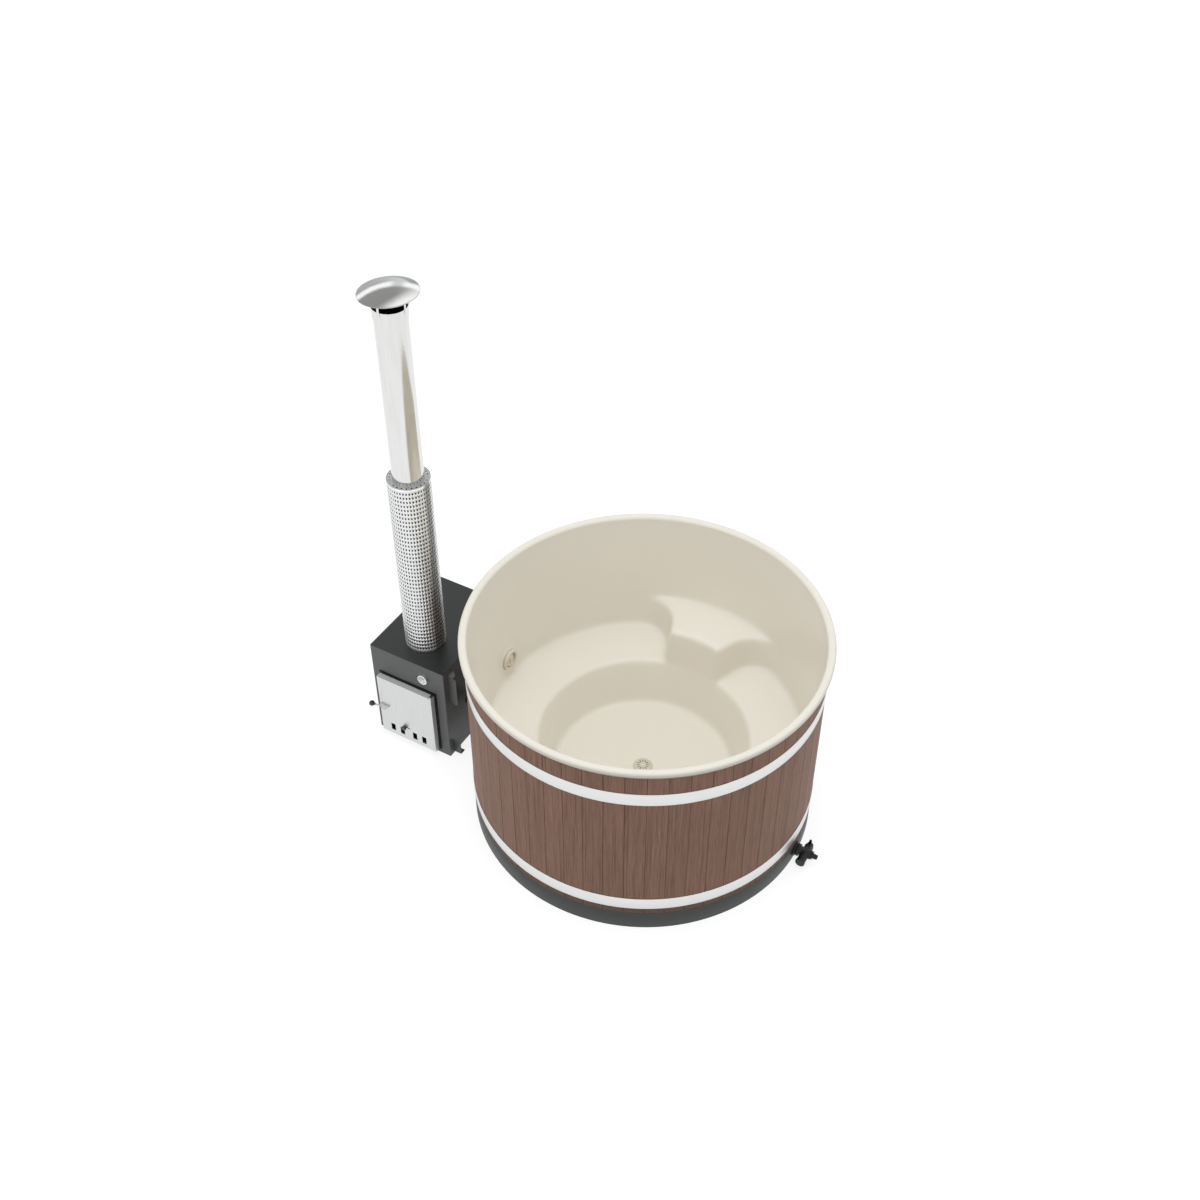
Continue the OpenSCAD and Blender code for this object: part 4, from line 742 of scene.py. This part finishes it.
# Only the inner face stays: the top and the block's outside go, and the upper wall, which isn't
# smoothed, goes back to its true cone
cut = bmesh.new()
cut.from_mesh(basin.data)
bmesh.ops.bisect_plane(cut, geom=cut.verts[:] + cut.edges[:] + cut.faces[:],
                       plane_co=(0, 0, JOIN_Z), plane_no=(0, 0, 1), clear_outer=True)
behind = [f for f in cut.faces
          if f.calc_center_median().z < CUT_Z or f.calc_center_median().xy.length > CUT_R]
bmesh.ops.delete(cut, geom=behind, context="FACES")
for v in cut.verts:
    if v.co.z > SEAT_BLEND_Z:
        flat = v.co.xy.normalized() * wall_r(v.co.z)
        v.co.x, v.co.y = flat.x, flat.y
for f in cut.faces:
    f.smooth = True
cut.to_mesh(basin.data)
cut.free()
basin.data.materials.clear()
basin.data.materials.append(materials["moulding"])
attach(basin, ROOT)

# The rim, from just below the join over the bead to its skirt
lower = JOIN_Z - JOIN_OVERLAP
rim = [np.array(p) for p in [(wall_r(lower) + 0.0002, lower), (wall_r(JOIN_Z) + 0.0001, JOIN_Z)]]
rim += rounded_path(
    [(WALL_TOP_R, WALL_TOP_Z), (WALL_TOP_R, TUB_H), (RIM_R, TUB_H), (RIM_R, BEAD_Z + BEAD_H),
     (SKIRT_R + SHELL_T, BEAD_Z)], [0, 0.016, 0.012, 0.012, 0], steps=8)
skirt = [(SKIRT_R, BEAD_Z), (SKIRT_R, SKIRT_TOP_Z), (SKIRT_IN_R, SKIRT_TOP_Z)]
rim += [np.array(p) for p in skirt]
verts, faces = lathe(rim, 360)
bead = mesh_piece("basin_rim", verts, faces, materials["moulding"])
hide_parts("liner")

# The return nozzle: a ring, a domed eye with its slot to one side, and behind them a black disc,
# painted shade for the dark throat.
# Towards its middle the eye is drawn out upward and squeezed sideways by up to SLOT_PULL, and
# moved aside by up to SLOT_ASIDE
EYE_R, SLOT_PULL, SLOT_ASIDE = 0.0355, 0.9, 0.016


def on_wall(name, profile, material, slotted=0.0):
    """A turned piece on the return pad, with its axis along X; slotted says how much of a slot."""
    verts, faces = lathe(profile, 72, closed=True)
    turned = []
    for x, y, z in verts:
        pull = slotted * max(0.0, 1 - math.hypot(x, y) / EYE_R)
        turned.append((-RETURN_FACE_R + z, y * (1 - SLOT_PULL * pull) - SLOT_ASIDE * pull,
                       RETURN_Z + x * (1 + SLOT_PULL * pull)))
    return mesh_piece(name, turned, faces, material)


# Profiles of (radius, distance from the pad)
nozzle = on_wall("return_ring", [
    (0.036, 0.0), (0.036, 0.006), (0.038, 0.013), (0.042, 0.016), (0.047, 0.0155),
    (0.0505, 0.012), (0.052, 0.007), (0.052, 0.0)], materials["cover_plastic"])
on_wall("return_eye", [
    (0.011, 0.002), (0.011, 0.0105), (0.012, 0.0125), (0.018, 0.0130), (0.026, 0.0110),
    (0.032, 0.0070), (EYE_R, 0.002)], materials["cover_plastic"], slotted=1.0)
# A black disc behind the eye: painted shade in the throat
on_wall("return_throat_painted_shade", [(0.0005, 0.0002), (0.0005, 0.0012), (0.0365, 0.0012), (0.0365, 0.0002)],
        materials["black_plastic"])
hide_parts("return_cover")

# The perforated guard, with all its small square holes; a hole takes these shares of its pitch
GUARD_COLUMNS, GUARD_ROWS = 44, 42
GUARD_R, GUARD_T = 0.095, 0.0015
GUARD_Z, GUARD_TOP, GUARD_EDGE = 0.548, 1.498, 0.012
HOLE_W, HOLE_H = 0.46, 0.50


def guard_mesh():
    """Square holes in a thin tube: each pitch has its bars as narrow quads."""
    pitch = (GUARD_TOP - GUARD_Z - 2 * GUARD_EDGE) / GUARD_ROWS
    turn = 2 * math.pi / GUARD_COLUMNS
    bar = (1 - HOLE_W) / 2
    cuts_a, cuts_z = [], [GUARD_Z]
    for i in range(GUARD_COLUMNS):
        cuts_a += [(i + bar) * turn, (i + 1 - bar) * turn]
    hole_h = HOLE_H * pitch
    for k in range(GUARD_ROWS):
        middle = GUARD_Z + GUARD_EDGE + (k + 0.5) * pitch
        cuts_z += [middle - hole_h / 2, middle + hole_h / 2]
    cuts_z.append(GUARD_TOP)
    n = len(cuts_a)
    verts = [(FLUE_X + GUARD_R * math.cos(a), FLUE_Y + GUARD_R * math.sin(a), z)
             for z in cuts_z for a in cuts_a]
    faces = []
    for k in range(len(cuts_z) - 1):
        for i in range(n):
            if k % 2 == 1 and i % 2 == 0:
                continue
            j = (i + 1) % n
            faces.append((k * n + i, k * n + j, (k + 1) * n + j, (k + 1) * n + i))
    return verts, faces


verts, faces = guard_mesh()
guard = mesh_piece("guard_mesh", verts, faces, own["chimney_guard"])
thick = guard.modifiers.new("thickness", "SOLIDIFY")
thick.thickness = GUARD_T
thick.offset = -1.0
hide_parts("chimney_guard")

# The cap: a shallow dome with a rolled edge, on four straps, leaning a little as in the photo
LEG_R, LEG_W, LEG_T, LEG_FOOT_Z = 0.0742, 0.011, 0.0012, 2.318


def cap_top(r):
    """The height of the dome's upper face at a radius, before the lean."""
    return CAP_Z + CAP_RISE * (1 - (r / CAP_R) ** 2)


outside = [(r, cap_top(r)) for r in np.linspace(0.0005, CAP_R, 24)]
rolled = [(CAP_R + 0.0004, CAP_Z - 0.0015), (CAP_R, CAP_Z - 0.004), (CAP_R - 0.0012, CAP_Z - 0.005),
          (CAP_R - 0.0022, CAP_Z - 0.004)]
inside = [(r, cap_top(r) - CAP_T) for r in np.linspace(CAP_R - 0.002, 0.0005, 20)]
verts, faces = lathe(outside + rolled + inside, 144, closed=True)
verts = [(x + FLUE_X, y + FLUE_Y, z + CAP_LEAN * x) for x, y, z in verts]
cap = mesh_piece("cap_shell", verts, faces, own["cap_dome"])
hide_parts("cap_dome")


def strap(turn):
    """One flat leg, from the collar up to a short foot bent out under the dome."""
    r = LEG_R
    tab_r = r + 0.016
    lean = CAP_LEAN * math.cos(turn)
    path = rounded_path([(r, LEG_FOOT_Z), (r, cap_top(r) + lean * r - CAP_T - 0.006),
                         (tab_r, cap_top(tab_r) + lean * tab_r - CAP_T - 0.0005)], [0, 0.004, 0])
    steps = len(path)
    verts = []
    for k, point in enumerate(path):
        near = path[max(k - 1, 0)]
        far = path[min(k + 1, steps - 1)]
        run = np.array(far) - np.array(near)
        out = np.array([run[1], -run[0]]) / np.linalg.norm(run)
        for skin in (0.0, LEG_T):
            for side in (-LEG_W / 2, LEG_W / 2):
                q = np.array(point) + out * skin
                verts.append((FLUE_X + q[0] * math.cos(turn) - side * math.sin(turn),
                              FLUE_Y + q[0] * math.sin(turn) + side * math.cos(turn), q[1]))
    faces = [(0, 2, 3, 1), (4 * steps - 4, 4 * steps - 3, 4 * steps - 1, 4 * steps - 2)]
    for k in range(steps - 1):
        a, b = 4 * k, 4 * k + 4
        faces += [(a, a + 1, b + 1, b), (a + 2, b + 2, b + 3, a + 3),
                  (a, b, b + 2, a + 2), (a + 1, a + 3, b + 3, b + 1)]
    return verts, faces


verts, faces = joined([strap(math.radians(90.0 * k)) for k in range(4)])
legs = mesh_piece("cap_straps", verts, faces, own["cap_legs"], smooth=False)
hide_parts("cap_legs")

# Small edge rounding where sheet and castings catch the light
for name, width in {
    "heater_casing": 0.0012, "casing_lid": 0.0012, "door_pan": 0.0010, "latch_lever": 0.0012,
    "side_brackets": 0.0006, "heater_feet": 0.0006, "base_ring": 0.0015, "valve_body": 0.0012,
    "valve_handle": 0.0010, "valve_flange": 0.0010, "upper_hoop": 0.0004, "lower_hoop": 0.0004,
    "hose_clamps": 0.0004, "hoop_lugs": 0.0008,
}.items():
    soften(name, width)

# Floor: a grey plane, lit up to white for the camera, with the object's shadow on it
FLOOR_REACH, FLOOR_GREY, FLOOR_GLOW = 15.0, 0.34, 0.80
s = Shader("floor")
s.set(color=(FLOOR_GREY, FLOOR_GREY, FLOOR_GREY, 1.0), roughness=0.9, specular=0.1)
s.bsdf.inputs["Emission Color"].default_value = WHITE
s.link(s.math("MULTIPLY", s.looks_past(), FLOOR_GLOW), s.bsdf.inputs["Emission Strength"])
verts = [(FLOOR_REACH * x, FLOOR_REACH * y, 0) for x, y in [(-1, -1), (1, -1), (1, 1), (-1, 1)]]
floor = mesh_piece("floor", verts, [(0, 1, 2, 3)], s.material, body=None, smooth=False)

# World: an even pale light, and white where the camera, metal or glass looks past the object
SKY_LIGHT, SKY_SEEN = 0.62, 1.0
world = bpy.data.worlds.new("world")
scene.world = world
world.use_nodes = True
sky = Nodes(world.node_tree)
sky.tree.nodes.clear()
blend = sky.add("ShaderNodeMixShader")
sky.link(sky.looks_past(), blend.inputs[0])
for strength, socket in zip((SKY_LIGHT, SKY_SEEN), blend.inputs[1:]):
    background = sky.add("ShaderNodeBackground")
    background.inputs["Color"].default_value = WHITE
    background.inputs["Strength"].default_value = strength
    sky.link(background.outputs[0], socket)
sky.link(blend.outputs[0], sky.add("ShaderNodeOutputWorld").inputs["Surface"])


def area_light(name, location, target, size, watts):
    data = bpy.data.lights.new(name, "AREA")
    data.shape = "SQUARE"
    data.size = size
    data.energy = watts
    obj = bpy.data.objects.new(name, data)
    obj.location = location
    aim = Vector(target) - Vector(location)
    obj.rotation_euler = aim.to_track_quat("-Z", "Y").to_euler()
    scene.collection.objects.link(obj)
    return obj


overhead = area_light("overhead", (0.0, 0.0, 7.0), (0.0, 0.0, 0.0), 4.0, 160.0)
overhead.data.color = (0.93, 0.955, 1.0)
overhead.visible_glossy = False
area_light("key", (-2.0, -6.0, 4.5), (0.0, 0.0, 0.5), 3.5, 30.0)
area_light("fill", (5.0, -3.0, 4.0), (0.0, 0.0, 0.5), 4.0, 8.0)
